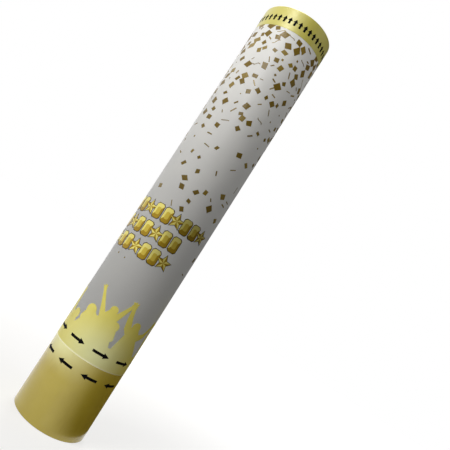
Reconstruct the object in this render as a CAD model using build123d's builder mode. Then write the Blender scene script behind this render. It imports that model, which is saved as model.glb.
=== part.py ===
"""Twist-fired confetti popper.

A printed card barrel turns on a short card base. The turn lifts a valve out of a compressed-air tank, and
the air drives a pusher wad, the confetti charge and the muzzle lid out of the barrel.

Millimetres, +Z up along the barrel, origin at the centre of the base's bottom rim.
"""

import os
from math import cos, pi, radians, sin, sqrt

from build123d import *

# Outside of the popper
popper_height = 300.0
outer_diameter = 50.0
base_height = 47.0
seam_gap = 0.4
tube_wall = 2.0
rim_round = 0.25
label_thickness = 0.15
label_inset = 0.2

# Clearances and cuts
running_gap = 0.25
slide_gap = 0.1
seal_play = 0.05
cut_overrun = 1.0

# Firing stroke: turning the barrel lifts the valve by a steady cam
twist_angle = 120.0
valve_lift = 5.0

# Valve rod and the cross pin through it
rod_diameter = 5.0
rod_tail = 5.0
rod_chamfer = 0.6
pin_diameter = 3.0
pin_inset = 0.4
pin_height = 11.5

# Guide post that keeps the pin from turning, and the cam sleeve round it
post_bore_diameter = 12.0
post_wall = 2.5
post_floor_gap = 1.5
cam_wall = 3.0
cam_length = 26.0

# Plug that closes the bottom of the base
plug_recess = 2.0
plug_floor = 2.5
plug_wall = 1.8
plug_height = 12.0
socket_wall = 2.5
socket_height = 6.0
plug_rib_count = 6
plug_rib_height = 4.0
plug_rib_thickness = 1.6
plug_ring_radius = 16.0
plug_ring_width = 2.0
plug_ring_depth = 0.6
plug_gate_radius = 4.0

# Bearing between the base and the barrel
bush_wall = 2.0
bush_length = 12.0
bush_recess = 0.4
washer_thickness = 0.5
washer_inset = 0.4
spigot_wall = 2.0
spigot_length = 18.0
snap_thickness = 1.5
snap_width = 2.3
snap_opening = 8.0
snap_reach = 1.2

# Coupling housing that is glued into the barrel and carries the tank
web_thickness = 3.5
cup_wall = 2.0
cup_height = 30.0
web_rib_count = 6
web_rib_height = 6.0
web_rib_thickness = 1.6

# Compressed-air tank
tank_wall = 1.0
tank_body_length = 66.0
tank_lip_width = 2.0
tank_bend = 3.0
shoulder_rise = 6.0
neck_bore_diameter = 16.0
neck_wall = 2.0
neck_length = 7.0

# Plate that closes the bottom of the tank, with its seals and fill valve
plate_thickness = 6.0
plate_seal_thickness = 2.0
gland_seal_thickness = 1.8
fill_angle = 30.0
fill_stem_diameter = 4.0
fill_head_diameter = 6.5
fill_head_thickness = 1.5
fill_access_diameter = 5.5

# Valve plug in the tank's neck
stem_length = 4.0
head_diameter = 21.0
head_thickness = 3.0
head_round = 0.8
plug_seal_thickness = 1.6

# Hold-down spring on the valve rod
spring_wire = 0.8
spring_diameter = 8.4
spring_turns = 8
spring_seat_gap = 0.1
spring_washer_thickness = 2.0

# Cage that catches the valve plug, with its bumper
skirt_overlap = 10.0
bumper_thickness = 3.0
bumper_diameter = 16.0
bumper_clearance = 1.0
roof_thickness = 2.5
window_count = 6
window_diameter = 9.0
window_pitch_radius = 14.5

# Load in the barrel
wad_gap = 0.35
wad_thickness = 8.0
wad_edge = 0.8
charge_gap = 0.6
charge_crown = 5.0
headspace_length = 24.7

# Lid in the muzzle
lid_gap = 0.2
lid_recess = 2.5
lid_thickness = 1.2
lid_wall = 0.8
lid_skirt = 8.0
lid_round = 0.6

# Radii that follow from the sizes above
outer_radius = outer_diameter / 2
tube_radius = outer_radius - label_thickness
bore_radius = tube_radius - tube_wall
rod_radius = rod_diameter / 2
pin_radius = pin_diameter / 2
post_bore_radius = post_bore_diameter / 2
post_radius = post_bore_radius + post_wall
cam_inner_radius = post_radius + running_gap
cam_radius = cam_inner_radius + cam_wall
socket_radius = cam_radius + socket_wall
plug_inner_radius = bore_radius - plug_wall
bush_inner_radius = bore_radius - bush_wall
spigot_radius = bush_inner_radius - running_gap
spigot_inner_radius = spigot_radius - spigot_wall
snap_outer_radius = spigot_radius + snap_reach
snap_inner_radius = snap_outer_radius - snap_width
groove_radius = snap_inner_radius - seal_play
tank_radius = bore_radius - cup_wall
tank_inner_radius = tank_radius - tank_wall
tank_lip_radius = tank_radius - tank_wall - tank_lip_width
neck_bore_radius = neck_bore_diameter / 2
neck_radius = neck_bore_radius + neck_wall
gland_bore_radius = rod_radius + slide_gap
gland_groove_radius = gland_bore_radius + gland_seal_thickness + seal_play
plate_groove_radius = tank_inner_radius - plate_seal_thickness - 2 * seal_play
stem_radius = neck_bore_radius - slide_gap
head_radius = head_diameter / 2
bumper_radius = bumper_diameter / 2
window_radius = window_diameter / 2
fill_pitch_radius = (post_radius + plate_groove_radius) / 2
fill_stem_radius = fill_stem_diameter / 2
fill_head_radius = fill_head_diameter / 2
fill_access_radius = fill_access_diameter / 2
wad_radius = bore_radius - wad_gap
charge_radius = bore_radius - charge_gap
lid_radius = bore_radius - lid_gap
spring_radius = spring_diameter / 2

# Heights that follow from the sizes above
plug_top = plug_recess + plug_floor
barrel_bottom = base_height + seam_gap
bush_top = base_height - bush_recess
bush_bottom = bush_top - bush_length
post_bottom = plug_top + post_floor_gap
pin_z = plug_top + pin_height
rod_bottom = pin_z - rod_tail
tank_bottom = barrel_bottom + web_thickness
plate_bottom = tank_bottom + tank_wall
plate_top = plate_bottom + plate_thickness
shoulder_bottom = tank_bottom + tank_body_length
shoulder_top = shoulder_bottom + shoulder_rise
neck_top = shoulder_top + neck_length
stem_bottom = neck_top - stem_length
head_top = neck_top + head_thickness
rod_top = (stem_bottom + head_top) / 2
bumper_bottom = head_top + valve_lift + bumper_clearance
roof_bottom = bumper_bottom + bumper_thickness
roof_top = roof_bottom + roof_thickness
wad_top = roof_top + wad_thickness
lid_top = popper_height - lid_recess
lid_bottom = lid_top - lid_skirt
charge_length = lid_bottom - headspace_length - wad_top
snap_top = bush_bottom - running_gap
snap_bottom = snap_top - snap_thickness

# Base tube: a spiral-wound card tube that the popper stands on
with BuildPart() as base_tube:
    with BuildSketch():
        Circle(tube_radius)
        Circle(bore_radius, mode=Mode.SUBTRACT)
    extrude(amount=base_height)
    base_rims = base_tube.edges().filter_by(GeomType.CIRCLE).sort_by(SortBy.RADIUS)[-2:]
    fillet(base_rims, radius=rim_round)
base_tube.part.label = "base_tube"

# Base label: the printed wrap on the base tube
with BuildPart() as base_label:
    with BuildSketch(Plane.XY.offset(label_inset)):
        Circle(outer_radius)
        Circle(tube_radius, mode=Mode.SUBTRACT)
    extrude(amount=base_height - 2 * label_inset)
base_label.part.label = "base_label"

# Base bush: the plastic bearing ring glued just below the top of the base tube
with BuildPart() as base_bush:
    with BuildSketch(Plane.XY.offset(bush_bottom)):
        Circle(bore_radius)
        Circle(bush_inner_radius, mode=Mode.SUBTRACT)
    extrude(amount=bush_length)
base_bush.part.label = "base_bush"

# Thrust washer: lies on the bush and carries the barrel's shoulder
with BuildPart() as thrust_washer:
    with BuildSketch(Plane.XY.offset(bush_top)):
        Circle(bore_radius - washer_inset)
        Circle(bush_inner_radius, mode=Mode.SUBTRACT)
    extrude(amount=washer_thickness)
thrust_washer.part.label = "thrust_washer"

# Base plug: a moulded cup with a socket for the cam sleeve and ribs between socket and skirt
with BuildPart() as base_plug:
    with BuildSketch(Plane.XY.offset(plug_recess)):
        Circle(bore_radius)
    extrude(amount=plug_floor)
    with BuildSketch(Plane.XY.offset(plug_top)):
        Circle(bore_radius)
        Circle(plug_inner_radius, mode=Mode.SUBTRACT)
    extrude(amount=plug_height - plug_floor)
    with BuildSketch(Plane.XY.offset(plug_top)):
        Circle(socket_radius)
        Circle(cam_radius, mode=Mode.SUBTRACT)
    extrude(amount=socket_height)
    rib_length = bore_radius - cam_radius - (plug_wall + socket_wall) / 2
    with BuildSketch(Plane.XY.offset(plug_top)):
        with PolarLocations(cam_radius + socket_wall / 2 + rib_length / 2, plug_rib_count):
            Rectangle(rib_length, plug_rib_thickness)
    extrude(amount=plug_rib_height)
    with BuildSketch(Plane.XY.offset(plug_recess)):
        Circle(plug_ring_radius)
        Circle(plug_ring_radius - plug_ring_width, mode=Mode.SUBTRACT)
        Circle(plug_gate_radius)
    extrude(amount=plug_ring_depth, mode=Mode.SUBTRACT)
base_plug.part.label = "base_plug"

# One cam slot, swept along the helix that the cross pin follows, starting past the pin's end position
cam_radius_mean = cam_inner_radius + cam_wall / 2
cam_pitch = valve_lift * 360 / twist_angle
slot_width = pin_diameter + 2 * running_gap
slot_end_angle = (slot_width / 2 + running_gap) / cam_radius_mean * 180 / pi
slot_drop = cam_pitch * slot_end_angle / 360
with BuildPart() as cam_slot:
    with BuildLine() as cam_path:
        Helix(cam_pitch, valve_lift + 2 * slot_drop, cam_radius_mean, center=(0, 0, pin_z - slot_drop))
    slot_plane = Plane(origin=cam_path.line @ 0, x_dir=(1, 0, 0), z_dir=cam_path.line % 0)
    with BuildSketch(slot_plane):
        Rectangle(cam_wall + 2 * cut_overrun, slot_width)
    sweep(path=cam_path.line, is_frenet=True)

# Cam sleeve: stands in the base plug's socket, with a helical slot for each end of the cross pin
with BuildPart() as cam_sleeve:
    with BuildSketch(Plane.XY.offset(plug_top)):
        Circle(cam_radius)
        Circle(cam_inner_radius, mode=Mode.SUBTRACT)
    extrude(amount=cam_length)
    with PolarLocations(0, 2, start_angle=-slot_end_angle):
        add(cam_slot.part, mode=Mode.SUBTRACT)
cam_sleeve.part.label = "cam_sleeve"

# Barrel tube: the long spiral-wound card tube
with BuildPart() as barrel_tube:
    with BuildSketch(Plane.XY.offset(barrel_bottom)):
        Circle(tube_radius)
        Circle(bore_radius, mode=Mode.SUBTRACT)
    extrude(amount=popper_height - barrel_bottom)
    barrel_rims = barrel_tube.edges().filter_by(GeomType.CIRCLE).sort_by(SortBy.RADIUS)[-2:]
    fillet(barrel_rims, radius=rim_round)
barrel_tube.part.label = "barrel_tube"

# Barrel label: the printed wrap on the barrel tube
with BuildPart() as barrel_label:
    with BuildSketch(Plane.XY.offset(barrel_bottom + label_inset)):
        Circle(outer_radius)
        Circle(tube_radius, mode=Mode.SUBTRACT)
    extrude(amount=popper_height - barrel_bottom - 2 * label_inset)
barrel_label.part.label = "barrel_label"

# Coupling housing: web under the tank, cup round it, spigot in the bush and slotted guide post
with BuildPart() as coupling_housing:
    with BuildSketch(Plane.XY.offset(barrel_bottom)):
        Circle(bore_radius)
        Circle(post_bore_radius, mode=Mode.SUBTRACT)
        with PolarLocations(fill_pitch_radius, 1, start_angle=fill_angle):
            Circle(fill_access_radius, mode=Mode.SUBTRACT)
    extrude(amount=web_thickness)
    with BuildSketch(Plane.XY.offset(tank_bottom)):
        Circle(bore_radius)
        Circle(tank_radius, mode=Mode.SUBTRACT)
    extrude(amount=cup_height)
    with BuildSketch(Plane.XY.offset(barrel_bottom)):
        Circle(spigot_radius)
        Circle(spigot_inner_radius, mode=Mode.SUBTRACT)
    extrude(amount=-spigot_length)
    with BuildSketch(Plane.XY.offset(post_bottom)):
        Circle(post_radius)
        Circle(post_bore_radius, mode=Mode.SUBTRACT)
    extrude(amount=barrel_bottom - post_bottom)
    web_rib_length = spigot_radius - post_bore_radius - (spigot_wall + post_wall) / 2
    with BuildSketch(Plane.XY.offset(barrel_bottom)):
        with PolarLocations(post_bore_radius + post_wall / 2 + web_rib_length / 2, web_rib_count):
            Rectangle(web_rib_length, web_rib_thickness)
    extrude(amount=-web_rib_height)
    with BuildSketch(Plane.XY.offset(snap_bottom - seal_play)):
        Circle(spigot_radius + cut_overrun)
        Circle(groove_radius, mode=Mode.SUBTRACT)
    extrude(amount=snap_thickness + 2 * seal_play, mode=Mode.SUBTRACT)
    with BuildSketch(Plane.YZ):
        with Locations((0, pin_z + valve_lift / 2)):
            SlotCenterToCenter(valve_lift, slot_width, rotation=90)
    extrude(amount=post_radius + cut_overrun, both=True, mode=Mode.SUBTRACT)
coupling_housing.part.label = "coupling_housing"

# Snap ring: an open ring in the spigot's groove that keeps the base from pulling off
with BuildPart() as snap_ring:
    with BuildSketch(Plane.XY.offset(snap_bottom)):
        Circle(snap_outer_radius)
        Circle(snap_inner_radius, mode=Mode.SUBTRACT)
        with Locations((0, snap_outer_radius)):
            Rectangle(snap_opening, 2 * snap_width + cut_overrun, mode=Mode.SUBTRACT)
    extrude(amount=snap_thickness)
snap_ring.part.label = "snap_ring"

# Tank shell: a drawn aluminium can with a rolled bottom lip, a sloping shoulder and a thick neck
shoulder_slope = shoulder_rise / (tank_radius - neck_radius)
shoulder_drop = tank_wall * sqrt(1 + shoulder_slope**2)
inner_neck_bottom = shoulder_bottom + (tank_radius - neck_bore_radius) * shoulder_slope - shoulder_drop
inner_shoulder_bottom = shoulder_bottom + tank_wall * shoulder_slope - shoulder_drop
with BuildPart() as tank_shell:
    with BuildSketch(Plane.XZ):
        with BuildLine():
            Polyline(
                (tank_lip_radius, tank_bottom),
                (tank_radius, tank_bottom),
                (tank_radius, shoulder_bottom),
                (neck_radius, shoulder_top),
                (neck_radius, neck_top),
                (neck_bore_radius, neck_top),
                (neck_bore_radius, inner_neck_bottom),
                (tank_inner_radius, inner_shoulder_bottom),
                (tank_inner_radius, plate_bottom),
                (tank_lip_radius, plate_bottom),
                close=True,
            )
        make_face()
    revolve(axis=Axis.Z)
    shoulder_edges = tank_shell.edges().filter_by(GeomType.CIRCLE).filter_by_position(
        Axis.Z, shoulder_bottom - shoulder_rise / 2, shoulder_bottom + shoulder_rise / 2
    )
    fillet(shoulder_edges, radius=tank_bend)
tank_shell.part.label = "tank_shell"

# Tank end plate: closes the can above its lip, with seal grooves, a rod gland and the fill hole
plate_middle = (plate_bottom + plate_top) / 2
with BuildPart() as tank_end_plate:
    with BuildSketch(Plane.XY.offset(plate_bottom)):
        Circle(tank_inner_radius)
        Circle(gland_bore_radius, mode=Mode.SUBTRACT)
        with PolarLocations(fill_pitch_radius, 1, start_angle=fill_angle):
            Circle(fill_stem_radius, mode=Mode.SUBTRACT)
    extrude(amount=plate_thickness)
    with BuildSketch(Plane.XY.offset(plate_middle - plate_seal_thickness / 2 - seal_play)):
        Circle(tank_inner_radius + cut_overrun)
        Circle(plate_groove_radius, mode=Mode.SUBTRACT)
    extrude(amount=plate_seal_thickness + 2 * seal_play, mode=Mode.SUBTRACT)
    with BuildSketch(Plane.XY.offset(plate_middle - gland_seal_thickness / 2 - seal_play)):
        Circle(gland_groove_radius)
    extrude(amount=gland_seal_thickness + 2 * seal_play, mode=Mode.SUBTRACT)
tank_end_plate.part.label = "tank_end_plate"

# Plate seal: the rubber ring between the end plate and the can
with BuildPart() as plate_seal:
    with BuildSketch(Plane.XZ):
        with Locations((tank_inner_radius - seal_play - plate_seal_thickness / 2, plate_middle)):
            Circle(plate_seal_thickness / 2)
    revolve(axis=Axis.Z)
plate_seal.part.label = "plate_seal"

# Gland seal: the rubber ring round the valve rod
with BuildPart() as gland_seal:
    with BuildSketch(Plane.XZ):
        with Locations((gland_bore_radius + gland_seal_thickness / 2, plate_middle)):
            Circle(gland_seal_thickness / 2)
    revolve(axis=Axis.Z)
gland_seal.part.label = "gland_seal"

# Fill valve: a rubber mushroom plug, pushed through the end plate, that the air is pumped in past
fill_x = fill_pitch_radius * cos(radians(fill_angle))
fill_y = fill_pitch_radius * sin(radians(fill_angle))
with BuildPart() as fill_valve:
    with BuildSketch(Plane(origin=(fill_x, fill_y, plate_bottom))):
        Circle(fill_stem_radius)
    extrude(amount=plate_thickness)
    with BuildSketch(Plane(origin=(fill_x, fill_y, plate_top))):
        Circle(fill_head_radius)
    extrude(amount=fill_head_thickness)
fill_valve.part.label = "fill_valve"

# Valve rod: runs down through the tank and its gland, with a cross hole for the pin
with BuildPart() as valve_rod:
    with BuildSketch(Plane.XY.offset(rod_bottom)):
        Circle(rod_radius)
    extrude(amount=rod_top - rod_bottom)
    chamfer(valve_rod.edges().group_by(Axis.Z)[0], length=rod_chamfer)
    with BuildSketch(Plane.YZ):
        with Locations((0, pin_z)):
            Circle(pin_radius)
    extrude(amount=rod_radius + cut_overrun, both=True, mode=Mode.SUBTRACT)
valve_rod.part.label = "valve_rod"

# Cross pin: through the rod, the guide post's slots and the cam sleeve's slots
with BuildPart() as cross_pin:
    with BuildSketch(Plane.YZ):
        with Locations((0, pin_z)):
            Circle(pin_radius)
    extrude(amount=cam_radius - pin_inset, both=True)
cross_pin.part.label = "cross_pin"

# Spring washer: lies on the cross pin and carries the spring
washer_bottom = pin_z + pin_radius
washer_top = washer_bottom + spring_washer_thickness
with BuildPart() as spring_washer:
    with BuildSketch(Plane.XY.offset(washer_bottom)):
        Circle(post_bore_radius - running_gap)
        Circle(rod_radius, mode=Mode.SUBTRACT)
    extrude(amount=spring_washer_thickness)
spring_washer.part.label = "spring_washer"

# Valve spring: an open coil between the washer and the tank's end plate that holds the valve shut
spring_bottom = washer_top + spring_seat_gap + spring_wire / 2
spring_top = plate_bottom - spring_seat_gap - spring_wire / 2
spring_pitch = (spring_top - spring_bottom) / spring_turns
with BuildPart() as valve_spring:
    with BuildLine() as spring_path:
        Helix(spring_pitch, spring_top - spring_bottom, spring_radius, center=(0, 0, spring_bottom))
    with BuildSketch(Plane(origin=spring_path.line @ 0, z_dir=spring_path.line % 0)):
        Circle(spring_wire / 2)
    sweep(path=spring_path.line, is_frenet=True)
valve_spring.part.label = "valve_spring"

# Valve plug: sits in the neck under a wide head, on the top of the rod
plug_seal_z = neck_top - stem_length / 2
plug_groove_radius = neck_bore_radius - 2 * seal_play - plug_seal_thickness
plug_groove_half = plug_seal_thickness / 2 + seal_play
with BuildPart() as valve_plug:
    with BuildSketch(Plane.XZ):
        with BuildLine():
            Polyline(
                (0, rod_top),
                (rod_radius, rod_top),
                (rod_radius, stem_bottom),
                (stem_radius, stem_bottom),
                (stem_radius, plug_seal_z - plug_groove_half),
                (plug_groove_radius, plug_seal_z - plug_groove_half),
                (plug_groove_radius, plug_seal_z + plug_groove_half),
                (stem_radius, plug_seal_z + plug_groove_half),
                (stem_radius, neck_top),
                (head_radius, neck_top),
                (head_radius, head_top),
                (0, head_top),
                close=True,
            )
        make_face()
    revolve(axis=Axis.Z)
    fillet(valve_plug.edges().filter_by(GeomType.CIRCLE).group_by(Axis.Z)[-1], radius=head_round)
valve_plug.part.label = "valve_plug"

# Plug seal: the rubber ring round the valve plug's stem
with BuildPart() as plug_seal:
    with BuildSketch(Plane.XZ):
        with Locations((neck_bore_radius - seal_play - plug_seal_thickness / 2, plug_seal_z)):
            Circle(plug_seal_thickness / 2)
    revolve(axis=Axis.Z)
plug_seal.part.label = "plug_seal"

# Catch cage: glued into the barrel over the tank, it stops the valve plug and lets the air through
with BuildPart() as catch_cage:
    with BuildSketch(Plane.XZ):
        with BuildLine():
            Polyline(
                (tank_radius, shoulder_bottom - skirt_overlap),
                (bore_radius, shoulder_bottom - skirt_overlap),
                (bore_radius, roof_top),
                (0, roof_top),
                (0, roof_bottom),
                (tank_radius, roof_bottom),
                close=True,
            )
        make_face()
    revolve(axis=Axis.Z)
    with BuildSketch(Plane.XY.offset(roof_bottom)):
        with PolarLocations(window_pitch_radius, window_count):
            Circle(window_radius)
    extrude(amount=roof_thickness, mode=Mode.SUBTRACT)
catch_cage.part.label = "catch_cage"

# Bumper pad: the rubber disc under the cage's roof that the valve plug strikes
with BuildPart() as bumper_pad:
    with BuildSketch(Plane.XY.offset(bumper_bottom)):
        Circle(bumper_radius)
    extrude(amount=bumper_thickness)
bumper_pad.part.label = "bumper_pad"

# Pusher wad: the thick board piston that rests on the cage and drives the charge out
with BuildPart() as pusher_wad:
    with BuildSketch(Plane.XY.offset(roof_top)):
        Circle(wad_radius)
    extrude(amount=wad_thickness)
    chamfer(pusher_wad.edges().filter_by(GeomType.CIRCLE), length=wad_edge)
pusher_wad.part.label = "pusher_wad"

# Confetti charge: the column of loose foil squares on the wad, heaped at its top
with BuildPart() as confetti_charge:
    with BuildSketch(Plane.XY.offset(wad_top)):
        Circle(charge_radius)
    extrude(amount=charge_length)
    fillet(confetti_charge.edges().filter_by(GeomType.CIRCLE).group_by(Axis.Z)[-1], radius=charge_crown)
confetti_charge.part.label = "confetti_charge"

# Muzzle lid: a thin cap pushed into the muzzle, with its skirt downwards
with BuildPart() as muzzle_lid:
    with BuildSketch(Plane.XY.offset(lid_top)):
        Circle(lid_radius)
    extrude(amount=-lid_thickness)
    with BuildSketch(Plane.XY.offset(lid_top)):
        Circle(lid_radius)
        Circle(lid_radius - lid_wall, mode=Mode.SUBTRACT)
    extrude(amount=-lid_skirt)
    fillet(muzzle_lid.edges().filter_by(GeomType.CIRCLE).group_by(Axis.Z)[-1], radius=lid_round)
muzzle_lid.part.label = "muzzle_lid"

pieces = [
    base_tube,
    base_label,
    base_bush,
    thrust_washer,
    base_plug,
    cam_sleeve,
    barrel_tube,
    barrel_label,
    coupling_housing,
    snap_ring,
    tank_shell,
    tank_end_plate,
    plate_seal,
    gland_seal,
    fill_valve,
    valve_rod,
    cross_pin,
    spring_washer,
    valve_spring,
    valve_plug,
    plug_seal,
    catch_cage,
    bumper_pad,
    pusher_wad,
    confetti_charge,
    muzzle_lid,
]
os.makedirs("parts", exist_ok=True)
for piece in pieces:
    export_step(piece.part, f"parts/{piece.part.label}.step")

print("spring gap between turns", round(spring_pitch - spring_wire, 2))
print("charge rests from", round(wad_top, 2), "to", round(wad_top + charge_length, 2))
print("lid skirt bottom", round(lid_bottom, 2), "barrel bottom", round(barrel_bottom, 2))
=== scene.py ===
"""Dresses a twist-fired confetti popper: printed wraps, card rims, moulded ends, lid and foil confetti.

Lengths are in metres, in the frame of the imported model: +Z up the tube, -Y towards the photographed front.
A turn is an angle round the tube in degrees, 0 at the front and positive to the right.
"""

import logging
import math
import random
from collections.abc import Callable, Iterable, Sequence
from dataclasses import dataclass
from enum import Enum

import bmesh
import bpy
from mathutils import Matrix, Vector


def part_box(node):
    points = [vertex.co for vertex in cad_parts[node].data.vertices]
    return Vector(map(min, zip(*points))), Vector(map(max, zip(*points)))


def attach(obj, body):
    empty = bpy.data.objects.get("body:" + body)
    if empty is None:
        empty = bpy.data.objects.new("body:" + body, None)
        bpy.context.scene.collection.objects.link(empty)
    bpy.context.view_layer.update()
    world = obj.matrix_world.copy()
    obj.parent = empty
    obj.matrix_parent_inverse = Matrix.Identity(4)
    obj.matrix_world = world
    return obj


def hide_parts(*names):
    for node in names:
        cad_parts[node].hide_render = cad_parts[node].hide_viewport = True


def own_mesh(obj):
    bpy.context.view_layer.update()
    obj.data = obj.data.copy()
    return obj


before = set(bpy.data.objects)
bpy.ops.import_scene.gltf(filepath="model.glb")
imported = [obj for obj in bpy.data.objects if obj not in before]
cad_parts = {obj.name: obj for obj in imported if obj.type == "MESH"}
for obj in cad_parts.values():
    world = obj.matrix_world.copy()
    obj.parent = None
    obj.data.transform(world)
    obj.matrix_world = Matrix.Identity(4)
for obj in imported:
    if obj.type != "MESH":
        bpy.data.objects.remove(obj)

LOG = logging.getLogger("confetti_popper")
MM = 0.001
FULL_TURN = 360.0
HALF_TURN = 180.0
QUARTER_TURN = 90.0
MIDDLE_SHARE = 0.5
RING_STEPS = 192
WINDING_PITCH = 74 * MM
WHITE = (1.0, 1.0, 1.0)

# A pair is a place on a flat outline, a least and a greatest value, or a value and its result.
Pair = tuple[float, float]
Color = tuple[float, float, float]
Shape = bmesh.types.BMesh
Socket = bpy.types.NodeSocket
Outputs = bpy.types.NodeOutputs
Value = Socket | float


class Body(Enum):
    """The rigid bodies that the new pieces ride on."""

    BASE = "base"
    BARREL = "barrel"
    CHARGE = "charge"
    LID = "lid"


class Slot(Enum):
    """The record's material slots."""

    LABEL_GOLD = "label_gold"
    LABEL_PRINT = "label_print"
    CONFETTI_FOIL = "confetti_foil"
    LID_BOARD = "lid_board"
    STEEL = "steel"


class NodeBuilder:
    """Short ways to add and join the nodes of one shader tree."""

    def __init__(self, tree: bpy.types.NodeTree) -> None:
        """Keeps the tree that the nodes go into."""
        self.tree = tree

    def fill(self, socket: Socket, value: object) -> None:
        """Feeds an input socket.

        Args:
            socket: The input socket.
            value: The socket that feeds it, or its constant; a colour is opaque.
        """
        if isinstance(value, Socket):
            self.tree.links.new(value, socket)
        elif socket.type == "RGBA":
            socket.default_value = (*value, 1.0)
        else:
            socket.default_value = value

    def add(self, kind: str, values: dict | None = None, **settings: object) -> bpy.types.Node:
        """Adds one node.

        Args:
            kind: The node's type name.
            values: Input socket, by name or number, to a constant or to the socket that feeds it.
            settings: Properties of the node itself, which are set first.

        Returns:
            The new node.
        """
        node = self.tree.nodes.new(kind)
        for key, setting in settings.items():
            setattr(node, key, setting)
        for key, value in (values or {}).items():
            self.fill(node.inputs[key], value)
        return node

    def group(self, tree: bpy.types.NodeTree, values: dict) -> Outputs:
        """Places a shared node group with its own values and returns its outputs."""
        return self.add("ShaderNodeGroup", values, node_tree=tree).outputs

    def math(self, operation: str, first: Value, second: Value = 0.0) -> Socket:
        """Adds a Math node and returns its result."""
        return self.add("ShaderNodeMath", {0: first, 1: second}, operation=operation).outputs[0]

    def off_centre(self, value: Value, centre: float) -> Socket:
        """Returns how far a value is from a centre, either way."""
        return self.math("ABSOLUTE", self.math("SUBTRACT", value, centre))

    def ranged(self, value: Value, start: Pair, end: Pair) -> Socket:
        """Adds a smooth, clamped Map Range node.

        Args:
            value: What is mapped.
            start: The first value and its result.
            end: The last value and its result.

        Returns:
            The result.
        """
        (low, first), (high, last) = start, end
        values = {"Value": value, "From Min": low, "From Max": high, "To Min": first, "To Max": last}
        return self.add("ShaderNodeMapRange", values, interpolation_type="SMOOTHSTEP").outputs[0]

    def mixed(self, share: Value, first: Color | Socket, second: Color | Socket) -> Socket:
        """Adds a colour Mix node, from the first colour at 0 to the second at 1, and returns its result."""
        return self.add("ShaderNodeMix", {0: share, 6: first, 7: second}, data_type="RGBA").outputs[2]

    def noise(self, vector: Socket, scale: Value, detail: float) -> Socket:
        """Adds a noise texture and returns its value."""
        return self.add("ShaderNodeTexNoise", {"Vector": vector, "Scale": scale, "Detail": detail}).outputs[0]

    def bump(self, height: Value, distance: float) -> Socket:
        """Adds a Bump node and returns its normal."""
        return self.add("ShaderNodeBump", {"Height": height, "Distance": distance}).outputs[0]

    def object_point(self) -> Socket:
        """Returns the Object coordinates, which are the frame's own."""
        return self.add("ShaderNodeTexCoord").outputs["Object"]


class SharedEffects:
    """The node groups that more than one finish uses; each works on a point."""

    GRAIN_DETAIL = 2.0
    SHADE_DETAIL = 4.0
    SHADE_RAMP = ((0.3, 0.0), (0.7, 1.0))
    RUB_DETAIL = 6.0
    RUB_RAMP = ((0.58, 0.0), (0.74, 1.0))
    RUB_STRETCH = (1.0, 1.0, 0.3)

    def __init__(self) -> None:
        """Builds each group once."""
        self.tube_places = self._tube_places()
        self.fine_grain = self._fine_grain()
        self.scuffs = self._scuffs()

    def places(self, build: NodeBuilder, point: Socket) -> Outputs:
        """Places the tube group in a material and returns its outputs."""
        return build.group(self.tube_places, {"Point": point, "Winding Pitch": WINDING_PITCH})

    @staticmethod
    def _group(
        name: str, values: Sequence[str], results: Sequence[str]
    ) -> tuple[NodeBuilder, Outputs, bpy.types.NodeInputs]:
        """Starts a node group.

        Args:
            name: The group's name.
            values: Names of its number inputs, which come after its point.
            results: Names of its number outputs.

        Returns:
            A builder for its tree, its input sockets and its output sockets.
        """
        tree = bpy.data.node_groups.new(name, "ShaderNodeTree")
        tree.interface.new_socket(name="Point", in_out="INPUT", socket_type="NodeSocketVector")
        for way, labels in (("INPUT", values), ("OUTPUT", results)):
            for label in labels:
                tree.interface.new_socket(name=label, in_out=way, socket_type="NodeSocketFloat")
        entry = tree.nodes.new("NodeGroupInput").outputs
        leave = tree.nodes.new("NodeGroupOutput").inputs
        return NodeBuilder(tree), entry, leave

    def _tube_places(self) -> bpy.types.NodeTree:
        """Makes the group that tells where on the tube a point is.

        Turn is a share of a full turn, with the front in its middle. Seam Nearness goes from 0, half a turn
        away from the winding seam, to 0.5 on it.

        Returns:
            The group.
        """
        results = ("Turn", "Radius", "Height", "Seam Nearness")
        build, entry, leave = self._group("tube_places", ["Winding Pitch"], results)
        split = build.add("ShaderNodeSeparateXYZ", {0: entry["Point"]}).outputs
        angle = build.math("ARCTAN2", split["X"], build.math("MULTIPLY", split["Y"], -1.0))
        turn = build.math("ADD", build.math("DIVIDE", angle, math.tau), MIDDLE_SHARE)
        square = build.math("ADD", build.math("POWER", split["X"], 2.0), build.math("POWER", split["Y"], 2.0))
        rise = build.math("DIVIDE", split["Z"], entry["Winding Pitch"])
        winding = build.math("FRACT", build.math("ADD", turn, rise))
        seam = build.off_centre(winding, MIDDLE_SHARE)
        for name, socket in zip(results, (turn, build.math("SQRT", square), split["Z"], seam)):
            build.fill(leave[name], socket)
        return build.tree

    def _fine_grain(self) -> bpy.types.NodeTree:
        """Makes the group with two sizes of noise: a fine grain for bumps and a broad shade for colour.

        Returns:
            The group.
        """
        build, entry, leave = self._group("fine_grain", ["Grain Scale", "Shade Scale"], ["Grain", "Shade"])
        shade = build.noise(entry["Point"], entry["Shade Scale"], self.SHADE_DETAIL)
        build.fill(leave["Grain"], build.noise(entry["Point"], entry["Grain Scale"], self.GRAIN_DETAIL))
        build.fill(leave["Shade"], build.ranged(shade, *self.SHADE_RAMP))
        return build.tree

    def _scuffs(self) -> bpy.types.NodeTree:
        """Makes the group of sparse short rubs, as handling leaves on print and plastic.

        Returns:
            The group.
        """
        build, entry, leave = self._group("scuffs", ["Scale", "Amount"], ["Mask"])
        stretch = {"Vector": entry["Point"], "Scale": self.RUB_STRETCH}
        drawn_out = build.add("ShaderNodeMapping", stretch).outputs[0]
        patches = build.ranged(build.noise(drawn_out, entry["Scale"], self.RUB_DETAIL), *self.RUB_RAMP)
        build.fill(leave["Mask"], build.math("MULTIPLY", patches, entry["Amount"]))
        return build.tree


EFFECTS = SharedEffects()


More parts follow.
